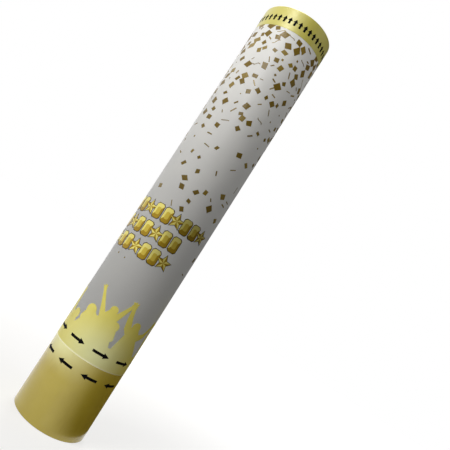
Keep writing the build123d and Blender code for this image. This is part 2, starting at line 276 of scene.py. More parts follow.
def turn_share(turn: float) -> float:
    """Returns a turn in degrees as the tube group's share of a full turn."""
    return MIDDLE_SHARE + turn / FULL_TURN


def new_material(name: str) -> tuple[bpy.types.Material, NodeBuilder]:
    """Starts a material with nodes.

    Args:
        name: The material's name.

    Returns:
        The material and a builder for its tree.
    """
    material = bpy.data.materials.new(name)
    material.use_nodes = True
    return material, NodeBuilder(material.node_tree)


@dataclass(frozen=True)
class Finish:
    """A surface finish.

    Attributes:
        name: The material's name.
        color: The main colour, linear.
        shade: The colour that the broad variation goes towards.
        roughness: Mean roughness.
        grain_scale: Specks of the fine grain in a metre.
        shade_scale: Patches of the broad variation in a metre.
        relief: Height of the bumps.
        roughness_spread: How far the roughness varies either way.
        rub_scale: Patches of rubs in a metre.
        rub_roughness: How much rougher the rubs are.
    """

    name: str
    color: Color
    shade: Color
    roughness: float
    grain_scale: float
    shade_scale: float
    relief: float
    roughness_spread: float = 0.0
    rub_scale: float = 0.0
    rub_roughness: float = 0.0

    def material(self) -> bpy.types.Material:
        """Gives the finish's material, which is made on first use.

        Returns:
            The material.
        """
        made = bpy.data.materials.get(self.name)
        if made:
            return made
        made, build = new_material(self.name)
        shader = made.node_tree.nodes["Principled BSDF"]
        for name, value in self.wire(build).items():
            build.fill(shader.inputs[name], value)
        return made

    def wire(self, build: NodeBuilder) -> dict[str, object]:
        """Adds the finish's nodes; each kind of finish has its own.

        Args:
            build: The builder of the material's tree.

        Returns:
            The shader's inputs by name, each with a constant or the socket that feeds it.
        """
        raise NotImplementedError

    def grain(self, build: NodeBuilder, point: Socket) -> Outputs:
        """Places the shared grain at this finish's scales and returns its outputs."""
        scales = {"Grain Scale": self.grain_scale, "Shade Scale": self.shade_scale}
        return build.group(EFFECTS.fine_grain, {"Point": point} | scales)

    def rubs(self, build: NodeBuilder, point: Socket) -> Socket:
        """Places the shared rubs with this finish's values and returns what they add to the roughness."""
        values = {"Scale": self.rub_scale, "Amount": self.rub_roughness}
        return build.group(EFFECTS.scuffs, {"Point": point} | values)["Mask"]

    def varied_roughness(self, build: NodeBuilder, value: Socket) -> Socket:
        """Returns the roughness, which varies with a value from 0 to 1."""
        low, high = self.roughness - self.roughness_spread, self.roughness + self.roughness_spread
        return build.ranged(value, (0.0, low), (1.0, high))


@dataclass(frozen=True)
class PaintedHighlight:
    """A painted highlight: a place where a foil print is paler, as if it caught the light.

    Attributes:
        color: The painted highlight's colour, which the print fades to.
        turn: Turn where it is palest.
        span: Turn either way from there that the fade goes.
        height: Height where it is palest.
        reach: How far up and down from there the fade goes.
        share: How far the print fades at the palest place.
    """

    color: Color
    turn: float
    span: float = 80.0
    height: float = 48 * MM
    reach: float = 19 * MM
    share: float = 0.95

    def mix(self, build: NodeBuilder, places: Outputs, color: Socket) -> Socket:
        """Mixes the painted highlight's paler colour into a print's.

        Args:
            build: The builder of the material's tree.
            places: The outputs of its tube group.
            color: The print's colour.

        Returns:
            The mixed colour.
        """
        away = build.off_centre(places["Height"], self.height)
        aside = build.off_centre(places["Turn"], turn_share(self.turn))
        level = build.ranged(away, (0.0, self.share), (self.reach, 0.0))
        width = build.ranged(aside, (0.0, 1.0), (self.span / FULL_TURN, 0.0))
        return build.mixed(build.math("MULTIPLY", level, width), color, self.color)


@dataclass(frozen=True)
class LaminatedPrint(Finish):
    """Printed paper under a clear film, wrapped on a spiral-wound tube.

    Attributes:
        metallic: Share of metal in the ink.
        coat: Weight of the clear film.
        film_ior: Refractive index of the film.
        film_roughness: Roughness of the film.
        specular: Gloss of the ink itself.
        pale: The painted highlight, where the print is paler, if there is one.
        overlap: Whether the wrap's overlapped edge shows down the back, as a step with a painted shadow line
            beside it.
    """

    grain_scale: float = 2600.0
    shade_scale: float = 42.0
    relief: float = 0.03 * MM
    roughness_spread: float = 0.03
    rub_scale: float = 240.0
    rub_roughness: float = 0.15
    metallic: float = 0.0
    coat: float = 0.5
    film_ior: float = 1.5
    film_roughness: float = 0.2
    specular: float = 0.3
    pale: PaintedHighlight | None = None
    overlap: bool = False

    GRAIN_SHARE = 0.25
    RIDGE_RAMP = ((0.46, 0.0), (0.5, 0.6))
    OVERLAP_TURN_SHARE = 0.039
    # The overlap's painted shadow line, then its raised step.
    OVERLAP_SHADOW_RAMP = ((0.0008, 0.45), (0.002, 0.0))
    OVERLAP_STEP_RAMP = ((0.038, 0.0), (0.04, 3.0))
    OVERLAP_SHADOW_COLOR = (0.2, 0.19, 0.17)

    def wire(self, build: NodeBuilder) -> dict[str, object]:
        """Joins ink colour, film and the faint ridges of the tube below, with any painted highlight and the
        overlap's painted shadow line.

        Args:
            build: The builder of the material's tree.

        Returns:
            The shader's inputs by name.
        """
        point = build.object_point()
        places = EFFECTS.places(build, point)
        grain = self.grain(build, point)
        color = build.mixed(grain["Shade"], self.color, self.shade)
        # Painted highlight: the print is paled where the foil would catch the light.
        if self.pale:
            color = self.pale.mix(build, places, color)
        ridge = build.ranged(places["Seam Nearness"], *self.RIDGE_RAMP)
        height = build.math("SUBTRACT", build.math("MULTIPLY", grain["Grain"], self.GRAIN_SHARE), ridge)
        if self.overlap:
            # Painted shadow: a dark line along the overlapped edge, where its step would cast shade.
            aside = build.off_centre(places["Turn"], self.OVERLAP_TURN_SHARE)
            color = build.mixed(build.ranged(aside, *self.OVERLAP_SHADOW_RAMP), color, self.OVERLAP_SHADOW_COLOR)
            height = build.math("ADD", height, build.ranged(places["Turn"], *self.OVERLAP_STEP_RAMP))
        sheen = self.varied_roughness(build, grain["Shade"])
        return {
            "Base Color": color,
            "Roughness": build.math("ADD", sheen, self.rubs(build, point)),
            "Normal": build.bump(height, self.relief),
            "Metallic": self.metallic,
            "Specular IOR Level": self.specular,
            "Coat Weight": self.coat,
            "Coat Roughness": self.film_roughness,
            "Coat IOR": self.film_ior,
        }


@dataclass(frozen=True)
class WoundBoard(Finish):
    """Spiral-wound board: plies on its cut rims and a winding seam down its bore.

    Attributes:
        ply: Thickness of one ply.
    """

    grain_scale: float = 1800.0
    shade_scale: float = 260.0
    relief: float = 0.06 * MM
    roughness_spread: float = 0.05
    ply: float = 0.42 * MM

    GLUE_RAMP = ((0.36, 0.0), (0.5, 0.35))
    SEAM_RAMP = ((0.485, 0.0), (0.5, 0.5))
    SEAM_COLOR = (0.16, 0.12, 0.08)

    def wire(self, build: NodeBuilder) -> dict[str, object]:
        """Joins plies, seam and fibres.

        Args:
            build: The builder of the material's tree.

        Returns:
            The shader's inputs by name.
        """
        point = build.object_point()
        places = EFFECTS.places(build, point)
        grain = self.grain(build, point)
        layer = build.math("FRACT", build.math("DIVIDE", places["Radius"], self.ply))
        glue = build.ranged(build.off_centre(layer, MIDDLE_SHARE), *self.GLUE_RAMP)
        seam = build.ranged(places["Seam Nearness"], *self.SEAM_RAMP)
        fibre = build.mixed(grain["Shade"], self.color, self.shade)
        plied = build.mixed(glue, fibre, self.shade)
        height = build.math("SUBTRACT", grain["Grain"], build.math("ADD", glue, seam))
        return {
            "Base Color": build.mixed(seam, plied, self.SEAM_COLOR),
            "Roughness": self.varied_roughness(build, grain["Grain"]),
            "Normal": build.bump(height, self.relief),
        }


@dataclass(frozen=True)
class MouldedPart(Finish):
    """Moulded plastic or rubber with a fine spark-eroded skin.

    Attributes:
        specular: Gloss of the skin.
    """

    grain_scale: float = 3200.0
    shade_scale: float = 70.0
    relief: float = 0.02 * MM
    rub_scale: float = 300.0
    rub_roughness: float = 0.12
    specular: float = 0.5

    def wire(self, build: NodeBuilder) -> dict[str, object]:
        """Joins the skin's grain and faint flow marks.

        Args:
            build: The builder of the material's tree.

        Returns:
            The shader's inputs by name.
        """
        point = build.object_point()
        grain = self.grain(build, point)
        return {
            "Base Color": build.mixed(grain["Shade"], self.color, self.shade),
            "Roughness": build.math("ADD", self.rubs(build, point), self.roughness),
            "Normal": build.bump(grain["Grain"], self.relief),
            "Specular IOR Level": self.specular,
        }


@dataclass(frozen=True)
class TurnedMetal(Finish):
    """Drawn or turned metal with fine marks round the axis."""

    grain_scale: float = 5200.0
    shade_scale: float = 900.0
    relief: float = 0.004 * MM
    roughness_spread: float = 0.08

    def wire(self, build: NodeBuilder) -> dict[str, object]:
        """Joins the marks, which run round the tube's axis.

        Args:
            build: The builder of the material's tree.

        Returns:
            The shader's inputs by name.
        """
        places = EFFECTS.places(build, build.object_point())
        line = build.add("ShaderNodeCombineXYZ", {"X": places["Radius"], "Z": places["Height"]}).outputs[0]
        marks = self.grain(build, line)
        return {
            "Base Color": build.mixed(marks["Shade"], self.color, self.shade),
            "Metallic": 1.0,
            "Roughness": self.varied_roughness(build, marks["Grain"]),
            "Normal": build.bump(marks["Grain"], self.relief),
        }


@dataclass(frozen=True)
class CrinkledFoil(Finish):
    """Thin metallised foil with soft creases.

    Attributes:
        crease_scale: Creases in a metre.
    """

    grain_scale: float = 700.0
    shade_scale: float = 160.0
    relief: float = 0.15 * MM
    roughness_spread: float = 0.05
    crease_scale: float = 130.0

    GRAIN_SHARE = 0.1

    def wire(self, build: NodeBuilder) -> dict[str, object]:
        """Joins creases and tone.

        Args:
            build: The builder of the material's tree.

        Returns:
            The shader's inputs by name.
        """
        point = build.object_point()
        grain = self.grain(build, point)
        values = {"Vector": point, "Scale": self.crease_scale}
        creases = build.add("ShaderNodeTexVoronoi", values, feature="SMOOTH_F1").outputs[0]
        height = build.math("ADD", creases, build.math("MULTIPLY", grain["Grain"], self.GRAIN_SHARE))
        return {
            "Base Color": build.mixed(grain["Shade"], self.color, self.shade),
            "Metallic": 1.0,
            "Roughness": self.varied_roughness(build, grain["Shade"]),
            "Normal": build.bump(height, self.relief),
        }


WRAP_PAPER = LaminatedPrint(
    "wrap_paper", (0.785, 0.795, 0.8), (0.755, 0.765, 0.775), roughness=0.45, coat=0.1, overlap=True
)
PAPER_EDGE = LaminatedPrint("paper_edge", (1.0, 0.97, 0.62), (0.96, 0.93, 0.57), roughness=0.4, metallic=0.6)
BAND_GOLD = LaminatedPrint(
    "band_gold",
    (0.56, 0.515, 0.1),
    (0.52, 0.475, 0.085),
    roughness=0.5,
    metallic=0.05,
    coat=1.0,
    film_ior=1.7,
    film_roughness=0.3,
)
CROWD_GOLD = LaminatedPrint(
    "crowd_gold",
    (0.86, 0.765, 0.15),
    (0.81, 0.715, 0.13),
    roughness=0.5,
    metallic=0.4,
    coat=0.4,
    # Painted highlight on the crowd's gold, about the front.
    pale=PaintedHighlight((0.93, 0.93, 0.48), turn=8.0, span=90.0, height=52 * MM, reach=28 * MM),
)
BASE_GOLD = LaminatedPrint(
    "base_gold",
    (0.62, 0.485, 0.035),
    (0.575, 0.44, 0.025),
    roughness=0.5,
    metallic=0.4,
    coat=1.0,
    film_ior=1.7,
    # Painted highlight on the base's gold, to the front left.
    pale=PaintedHighlight((1.0, 0.97, 0.45), turn=-45.0),
    overlap=True,
)
FLAKE_DARK = LaminatedPrint(
    "flake_dark", (0.19, 0.125, 0.012), (0.155, 0.1, 0.008), roughness=0.5, specular=0.15
)
FLAKE_LIGHT = LaminatedPrint(
    "flake_light", (0.26, 0.18, 0.022), (0.22, 0.145, 0.014), roughness=0.5, coat=1.0, specular=0.2
)
BLACK_INK = LaminatedPrint(
    "black_ink", (0.003, 0.003, 0.003), (0.005, 0.005, 0.005), roughness=0.6, coat=0.0, specular=0.05
)
BOARD = WoundBoard("wound_board", (0.66, 0.6, 0.49), (0.5, 0.44, 0.34), roughness=0.85)
WAD_BOARD = WoundBoard("wad_board", (0.48, 0.38, 0.26), (0.36, 0.28, 0.18), roughness=0.9)
WHITE_PLASTIC = MouldedPart("white_plastic", (0.78, 0.78, 0.76), (0.72, 0.72, 0.7), roughness=0.42)
SLIP_PLASTIC = MouldedPart("slip_plastic", (0.04, 0.04, 0.042), (0.055, 0.055, 0.055), roughness=0.5)
RUBBER = MouldedPart("rubber", (0.022, 0.022, 0.022), (0.03, 0.03, 0.03), roughness=0.7, specular=0.3)
STEEL = TurnedMetal("steel", (0.5, 0.5, 0.5), (0.42, 0.42, 0.43), roughness=0.36)
ALUMINIUM = TurnedMetal("aluminium", (0.76, 0.76, 0.77), (0.68, 0.68, 0.7), roughness=0.34)
LID_FOIL = CrinkledFoil("lid_foil", (0.8, 0.62, 0.2), (0.7, 0.52, 0.14), roughness=0.31)
CONFETTI_FOIL = CrinkledFoil(
    "confetti_foil", (0.82, 0.62, 0.19), (0.68, 0.47, 0.11), roughness=0.25, crease_scale=300.0
)


def facet_ink(name: str, color: Color, shade: Color) -> LaminatedPrint:
    """Returns a finish of metallic ink for the ornaments' facets, whose tones differ by painted light and
    painted shade.
    """
    return LaminatedPrint(name, color, shade, roughness=0.42, metallic=0.8, coat=0.3)


class Tone(Enum):
    """The inks of the ornaments, from their outline to their brightest facets; the facets are one ink in
    painted shade, a middle tone and painted light.
    """

    OUTLINE = LaminatedPrint(
        "ornament_outline", (0.05, 0.027, 0.004), (0.035, 0.019, 0.003), roughness=0.5, coat=0.2
    )
    # Painted shade, middle tone and painted light of one facet ink.
    DARK = facet_ink("ornament_shaded", (0.42, 0.27, 0.012), (0.35, 0.215, 0.009))
    MIDDLE = facet_ink("ornament_middle", (0.66, 0.51, 0.065), (0.58, 0.435, 0.05))
    LIGHT = facet_ink("ornament_lit", (0.86, 0.77, 0.22), (0.78, 0.68, 0.17))


def linked(name: str, mesh: Shape) -> bpy.types.Object:
    """Makes a scene object of a bmesh.

    Args:
        name: The object's name.
        mesh: Its shape, in the frame; it is freed.

    Returns:
        The new object.
    """
    data = bpy.data.meshes.new(name)
    mesh.to_mesh(data)
    mesh.free()
    item = bpy.data.objects.new(name, data)
    bpy.context.scene.collection.objects.link(item)
    return item


def new_piece(name: str, mesh: Shape, finish: Finish, body: Body) -> bpy.types.Object:
    """Makes a piece of a finished bmesh and lets it ride on a body.

    Args:
        name: The piece's name.
        mesh: Its shape, in the frame; it is freed.
        finish: Its finish.
        body: The body it moves with.

    Returns:
        The new object.
    """
    piece = linked(name, mesh)
    piece.data.materials.append(finish.material())
    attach(piece, body.value)
    LOG.info("%s: %d faces on %s", name, len(piece.data.polygons), body.value)
    return piece


def stage_piece(name: str, mesh: Shape, surface: Callable[[NodeBuilder], Socket]) -> bpy.types.Object:
    """Adds a piece of the stage, which is no part of the popper.

    Args:
        name: Its name.
        mesh: Its shape; it is freed.
        surface: Adds the nodes of its shader and returns the shader.

    Returns:
        The new object.
    """
    material, build = new_material(name)
    nodes = material.node_tree.nodes
    nodes.remove(nodes["Principled BSDF"])
    build.fill(nodes["Material Output"].inputs["Surface"], surface(build))
    item = linked(name, mesh)
    item.data.materials.append(material)
    return item


def dress(nodes: Iterable[str], finish: Finish) -> None:
    """Gives CAD nodes a finish.

    Args:
        nodes: The nodes' names.
        finish: The finish that they all get.
    """
    for name in nodes:
        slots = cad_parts[name].data.materials
        slots.clear()
        slots.append(finish.material())
        LOG.info("%s: %s", name, finish.name)


def tube_place(angle: float, radius: float, height: float) -> Vector:
    """Returns the place of an angle round the tube, in radians from the front, a radius and a height."""
    return Vector((radius * math.sin(angle), -radius * math.cos(angle), height))


def spin_round(mesh: Shape, angle: float, steps: int, closed: bool) -> None:
    """Spins a wire outline round the tube's axis.

    Args:
        mesh: The outline, which becomes the spun surface.
        angle: How far it is spun, in radians.
        steps: Straight stretches of the curve.
        closed: Whether its two ends meet and are merged.
    """
    bmesh.ops.spin(
        mesh,
        geom=[*mesh.verts, *mesh.edges],
        axis=(0.0, 0.0, 1.0),
        cent=(0.0, 0.0, 0.0),
        angle=angle,
        steps=steps,
        use_merge=closed,
    )


def spun_ring(profile: Sequence[Pair]) -> Shape:
    """Spins a closed outline of radius and height points once round the tube's axis.

    Args:
        profile: The outline's corners in order.

    Returns:
        The closed ring.
    """
    mesh = bmesh.new()
    outline = mesh.faces.new([mesh.verts.new((radius, 0.0, height)) for radius, height in profile])
    bmesh.ops.delete(mesh, geom=[outline], context="FACES_ONLY")
    spin_round(mesh, math.tau, RING_STEPS, closed=True)
    bmesh.ops.recalc_face_normals(mesh, faces=mesh.faces[:])
    return mesh


class PrintSheet:
    """One colour of print, laid out flat and then wrapped round a tube as a thin raised film.

    In the flat layout x is the arc from the front, y the height and z the rise above the wrap.
    """

    FILM = 0.04 * MM
    SINK = 0.05 * MM
    SLICE = 1.5 * MM
    ROUND_SIDES = 20

    def __init__(self, radius: float, layer: int = 0) -> None:
        """Starts an empty sheet.

        Args:
            radius: Radius of the wrap that it lies on.
            layer: How many films of print lie below it.
        """
        self.radius = radius
        self.rise = (layer + 1) * self.FILM
        self.mesh = bmesh.new()

    def spot(self, turn: float, height: float) -> Vector:
        """Returns the flat place of a turn and a height."""
        return Vector((math.radians(turn) * self.radius, height, 0.0))

    def polygon(self, outline: Sequence[Pair], centre: Vector, spin: float = 0.0) -> None:
        """Adds one flat face.

        Args:
            outline: Its corners about its own centre.
            centre: Where that centre goes in the layout.
            spin: Its turn in the layout, in degrees.
        """
        place = Matrix.Translation(centre) @ Matrix.Rotation(math.radians(spin), 4, "Z")
        self.mesh.faces.new([self.mesh.verts.new(place @ Vector((x, y, 0.0))) for x, y in outline])

    def stroke(self, start: Vector, end: Vector, start_radius: float, end_radius: float) -> None:
        """Adds a tapered stroke with round ends, which is a disc where start and end agree.

        Args:
            start: The centre of its first end.
            end: The centre of its other end.
            start_radius: Half its width at the first end.
            end_radius: Half its width at the other end.
        """
        along = math.atan2(end.y - start.y, end.x - start.x)
        ahead = Vector((math.cos(along), math.sin(along), 0.0))
        turn = Matrix.Rotation(along - math.pi / 2 + math.pi / self.ROUND_SIDES, 3, "Z")
        made = bmesh.ops.create_circle(self.mesh, cap_ends=True, segments=self.ROUND_SIDES, radius=1.0)
        for vert in made["verts"]:
            out = turn @ vert.co
            vert.co = end + out * end_radius if out.dot(ahead) > 0 else start + out * start_radius

    def thicken(self) -> None:
        """Gives the flat faces the film's thickness, from just inside the wrap."""
        lower = self.mesh.verts[:]
        raised = bmesh.ops.extrude_face_region(self.mesh, geom=self.mesh.faces[:])["geom"]
        bmesh.ops.translate(self.mesh, vec=(0.0, 0.0, self.rise), verts=self._verts_of(raised))
        bmesh.ops.translate(self.mesh, vec=(0.0, 0.0, -self.SINK), verts=lower)
        bmesh.ops.recalc_face_normals(self.mesh, faces=self.mesh.faces[:])

    def fuse(self) -> None:
        """Joins the overlapping shapes of the thickened sheet into one outline.

        A Boolean modifier does it: it cuts a crumb away that lies clear of the sheet, and joins the
        sheet's own overlaps on the way.
        """
        clear = bmesh.new()
        bmesh.ops.create_cube(clear, size=self.FILM, matrix=Matrix.Translation((0.0, -self.radius, 0.0)))
        whole, crumb = linked("whole_sheet", self.mesh), linked("clear_crumb", clear)
        join = whole.modifiers.new("join", "BOOLEAN")
        join.operation = "DIFFERENCE"
        join.solver = "EXACT"
        join.use_self = True
        join.object = crumb
        self.mesh = bmesh.new()
        self.mesh.from_object(whole, bpy.context.evaluated_depsgraph_get())
        for item in (whole, crumb):
            bpy.data.objects.remove(item)

    def repeat(self, turn: float) -> None:
        """Adds a copy of the whole sheet, moved round by a turn."""
        copy = bmesh.ops.duplicate(self.mesh, geom=self._parts())["geom"]
        bmesh.ops.translate(self.mesh, vec=self.spot(turn, 0.0), verts=self._verts_of(copy))

    def wrap(self) -> Shape:
        """Slices the thickened sheet into narrow strips and rolls it round the tube.

        Returns:
            The rolled film, in the frame.
        """
        places = [vert.co.x for vert in self.mesh.verts]
        first, last = math.floor(min(places) / self.SLICE), math.ceil(max(places) / self.SLICE)
        for number in range(first, last + 1):
            cut = (number * self.SLICE, 0.0, 0.0)
            bmesh.ops.bisect_plane(self.mesh, geom=self._parts(), plane_co=cut, plane_no=(1.0, 0.0, 0.0))
        for vert in self.mesh.verts:
            arc, height, rise = vert.co
            vert.co = tube_place(arc / self.radius, self.radius + rise, height)
        return self.mesh

    def _parts(self) -> list[bmesh.types.BMVert | bmesh.types.BMEdge | bmesh.types.BMFace]:
        """Returns every corner, edge and face of the sheet."""
        return [*self.mesh.verts, *self.mesh.edges, *self.mesh.faces]

    @staticmethod
    def _verts_of(parts: Iterable[object]) -> list[bmesh.types.BMVert]:
        """Returns the corners among an operator's results."""
        return [part for part in parts if isinstance(part, bmesh.types.BMVert)]


def film_ring(label: str, low: float, high: float, layer: int = 0) -> Shape:
    """Makes a ring of print film right round a wrap.

    Args:
        label: The wrap's node.
        low: Height of its lower edge.
        high: Height of its upper edge.
        layer: How many films of print lie below it.

    Returns:
        The closed ring.
    """
    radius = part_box(label)[1].x
    inner, outer = radius - PrintSheet.SINK, radius + (layer + 1) * PrintSheet.FILM
    return spun_ring([(inner, low), (outer, low), (outer, high), (inner, high)])


@dataclass(frozen=True)
class Arrow:
    """A plain arrow: a straight shaft and a triangular head.

    Attributes:
        length: Tail to tip.
        shaft: Width of the shaft.
        head_length: Length of the head.
        head_width: Width of the head.
    """

    length: float
    shaft: float = 1.65 * MM
    head_length: float = 3.8 * MM
    head_width: float = 3.6 * MM

    def outline(self) -> list[Pair]:
        """Lays out its corners along +x, about the middle of its length.

        Returns:
            The corners in order.
        """
        tail, tip = -self.length / 2, self.length / 2
        neck = tip - self.head_length
        half, wing = self.shaft / 2, self.head_width / 2
        lower = [(tail, -half), (neck, -half), (neck, -wing)]
        return [*lower, (tip, 0.0), *((x, -y) for x, y in reversed(lower))]


@dataclass(frozen=True)
class ArrowRow:
    """A row of like arrows round a wrap.

    Attributes:
        name: The piece's name.
        arrow: The arrow that is repeated.
        count: How many there are.
        pitch: Turn from one arrow to the next.
        centre: Turn of the middle arrow.
        height: Height of their middles.
        spin: Which way they point, in degrees from +x of the flat print.
        layer: How many films of print lie below them.
    """

    name: str
    arrow: Arrow
    count: int
    pitch: float
    centre: float
    height: float
    spin: float
    layer: int = 0

    def build(self, label: str, body: Body) -> None:
        """Prints the row.

        Args:
            label: The node of the wrap that carries it.
            body: The body that the wrap belongs to.
        """
        sheet = PrintSheet(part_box(label)[1].x, self.layer)
        for number in range(self.count):
            turn = self.centre + (number - self.count // 2) * self.pitch
            sheet.polygon(self.arrow.outline(), sheet.spot(turn, self.height), self.spin)
        sheet.thicken()
        new_piece(self.name, sheet.wrap(), BLACK_INK, body)


@dataclass(frozen=True)
class Cheerer:
    """One figure of the cheering crowd, with its places as turns in degrees and heights in millimetres.

    Attributes:
        head: The middle of the head.
        size: Radius of the head, in millimetres.
        shoulders: The left and the right shoulder.
        feet: Turns of the left and the right side at the figure's foot.
        arms: Shoulder, elbow and wrist of each raised arm.
    """

    head: Pair
    size: float
    shoulders: tuple[Pair, Pair]
    feet: Pair
    arms: tuple[tuple[Pair, Pair, Pair], ...] = ()

    NECK_SHARE = 0.6
    SHOULDER_SHARE = 0.55
    UPPER_ARM_SHARE = 0.78
    ELBOW_SHARE = 0.54
    WRIST_SHARE = 0.37
    PALM_SHARE = 0.5
    KNUCKLE_SHARE = 0.2
    FINGERTIP_SHARE = 0.15
    FINGER_LENGTH_SHARE = 0.85
    FINGER_SPREAD = (-42.0, -6.0, 30.0)

    def draw(self, sheet: PrintSheet, foot: float) -> None:
        """Adds the figure to a sheet.

        Args:
            sheet: The sheet.
            foot: Height where the figure runs into the solid print below.
        """
        size = self.size * MM
        head = self._spot(sheet, self.head)
        left, right = (self._spot(sheet, shoulder) for shoulder in self.shoulders)
        left_foot, right_foot = (sheet.spot(turn, foot) for turn in self.feet)
        sheet.stroke(head, head, size, size)
        for shoulder in (left, right):
            sheet.stroke(shoulder, head, size * self.SHOULDER_SHARE, size * self.NECK_SHARE)
        torso = (left_foot, right_foot, right, head, left)
        sheet.polygon([(corner.x, corner.y) for corner in torso], Vector())
        for places in self.arms:
            shoulder, elbow, wrist = (self._spot(sheet, place) for place in places)
            sheet.stroke(shoulder, elbow, size * self.UPPER_ARM_SHARE, size * self.ELBOW_SHARE)
            sheet.stroke(elbow, wrist, size * self.ELBOW_SHARE, size * self.WRIST_SHARE)
            self._hand(sheet, wrist, (wrist - elbow).normalized() * size)

    def _hand(self, sheet: PrintSheet, wrist: Vector, reach: Vector) -> None:
        """Adds an open hand.

        Args:
            sheet: The sheet.
            wrist: Where the hand starts.
            reach: The way it points, as long as the head's radius.
        """
        size = reach.length
        palm = wrist + reach * self.PALM_SHARE
        sheet.stroke(wrist, palm, size * self.WRIST_SHARE, size * self.PALM_SHARE)
        for spread in self.FINGER_SPREAD:
            finger = Matrix.Rotation(math.radians(spread), 3, "Z") @ reach * self.FINGER_LENGTH_SHARE
            sheet.stroke(palm, palm + finger, size * self.KNUCKLE_SHARE, size * self.FINGERTIP_SHARE)

    @staticmethod
    def _spot(sheet: PrintSheet, place: Pair) -> Vector:
        """Returns the flat place of a turn and a height in millimetres."""
        return sheet.spot(place[0], place[1] * MM)


@dataclass
class CrowdPrint:
    """The cheering crowd in gold that rises from a solid gold ring above the seam.

    Attributes:
        foot: Height of the solid ring's upper edge.
        overlap: How far the figures reach into the ring.
        repeat: Turn after which the figures come again.
        layer: How many films of print lie below it.
        figures: The figures of one half turn.
    """

    foot: float = 60.0 * MM
    overlap: float = 0.3 * MM
    repeat: float = HALF_TURN
    layer: int = 1
    figures: tuple[Cheerer, ...] = (
        Cheerer(
            head=(-55.4, 65.7),
            size=3.2,
            shoulders=((-71.2, 62.1), (-53.2, 61.4)),
            feet=(-92.6, -46.8),
            arms=(((-70.0, 64.1), (-72.5, 69.6), (-74.0, 76.5)),),
        ),
        Cheerer(head=(-33.4, 73.0), size=3.75, shoulders=((-40.1, 66.8), (-22.7, 70.3)), feet=(-51.1, -12.4)),
        Cheerer(
            head=(-4.1, 80.4),
            size=2.55,
            shoulders=((-17.3, 71.6), (3.3, 74.9)),
            feet=(-33.0, 7.9),
            arms=(((-15.6, 74.3), (-22.3, 80.0), (-31.4, 87.0)), ((3.3, 76.8), (9.0, 81.9), (14.7, 87.2))),
        ),
        Cheerer(head=(8.0, 72.3), size=3.0, shoulders=((1.9, 67.3), (12.4, 65.0)), feet=(-6.3, 15.8)),
        Cheerer(
            head=(37.0, 78.0),
            size=3.0,
            shoulders=((27.2, 73.0), (47.6, 71.4)),
            feet=(19.5, 65.4),
            arms=(((25.4, 75.1), (21.1, 81.0), (18.5, 87.0)), ((47.1, 71.8), (58.5, 74.5), (68.7, 81.4))),
        ),
        Cheerer(
            head=(87.0, 70.6),
            size=2.9,
            shoulders=((79.0, 66.0), (94.0, 65.4)),
            feet=(69.0, 104.0),
            arms=(((78.0, 67.0), (74.0, 74.0), (77.5, 80.5)), ((94.5, 66.4), (99.0, 73.0), (96.5, 79.5))),
        ),
    )

    def build(self) -> None:
        """Prints the ring and the figures."""
        low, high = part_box("barrel_label")
        ring = film_ring("barrel_label", low.z, self.foot, self.layer)
        new_piece("crowd_ground", ring, CROWD_GOLD, Body.BARREL)
        sheet = PrintSheet(high.x, self.layer)
        for figure in self.figures:
            figure.draw(sheet, self.foot - self.overlap)
        sheet.thicken()
        sheet.fuse()
        sheet.repeat(self.repeat)
        new_piece("crowd_print", sheet.wrap(), CROWD_GOLD, Body.BARREL)


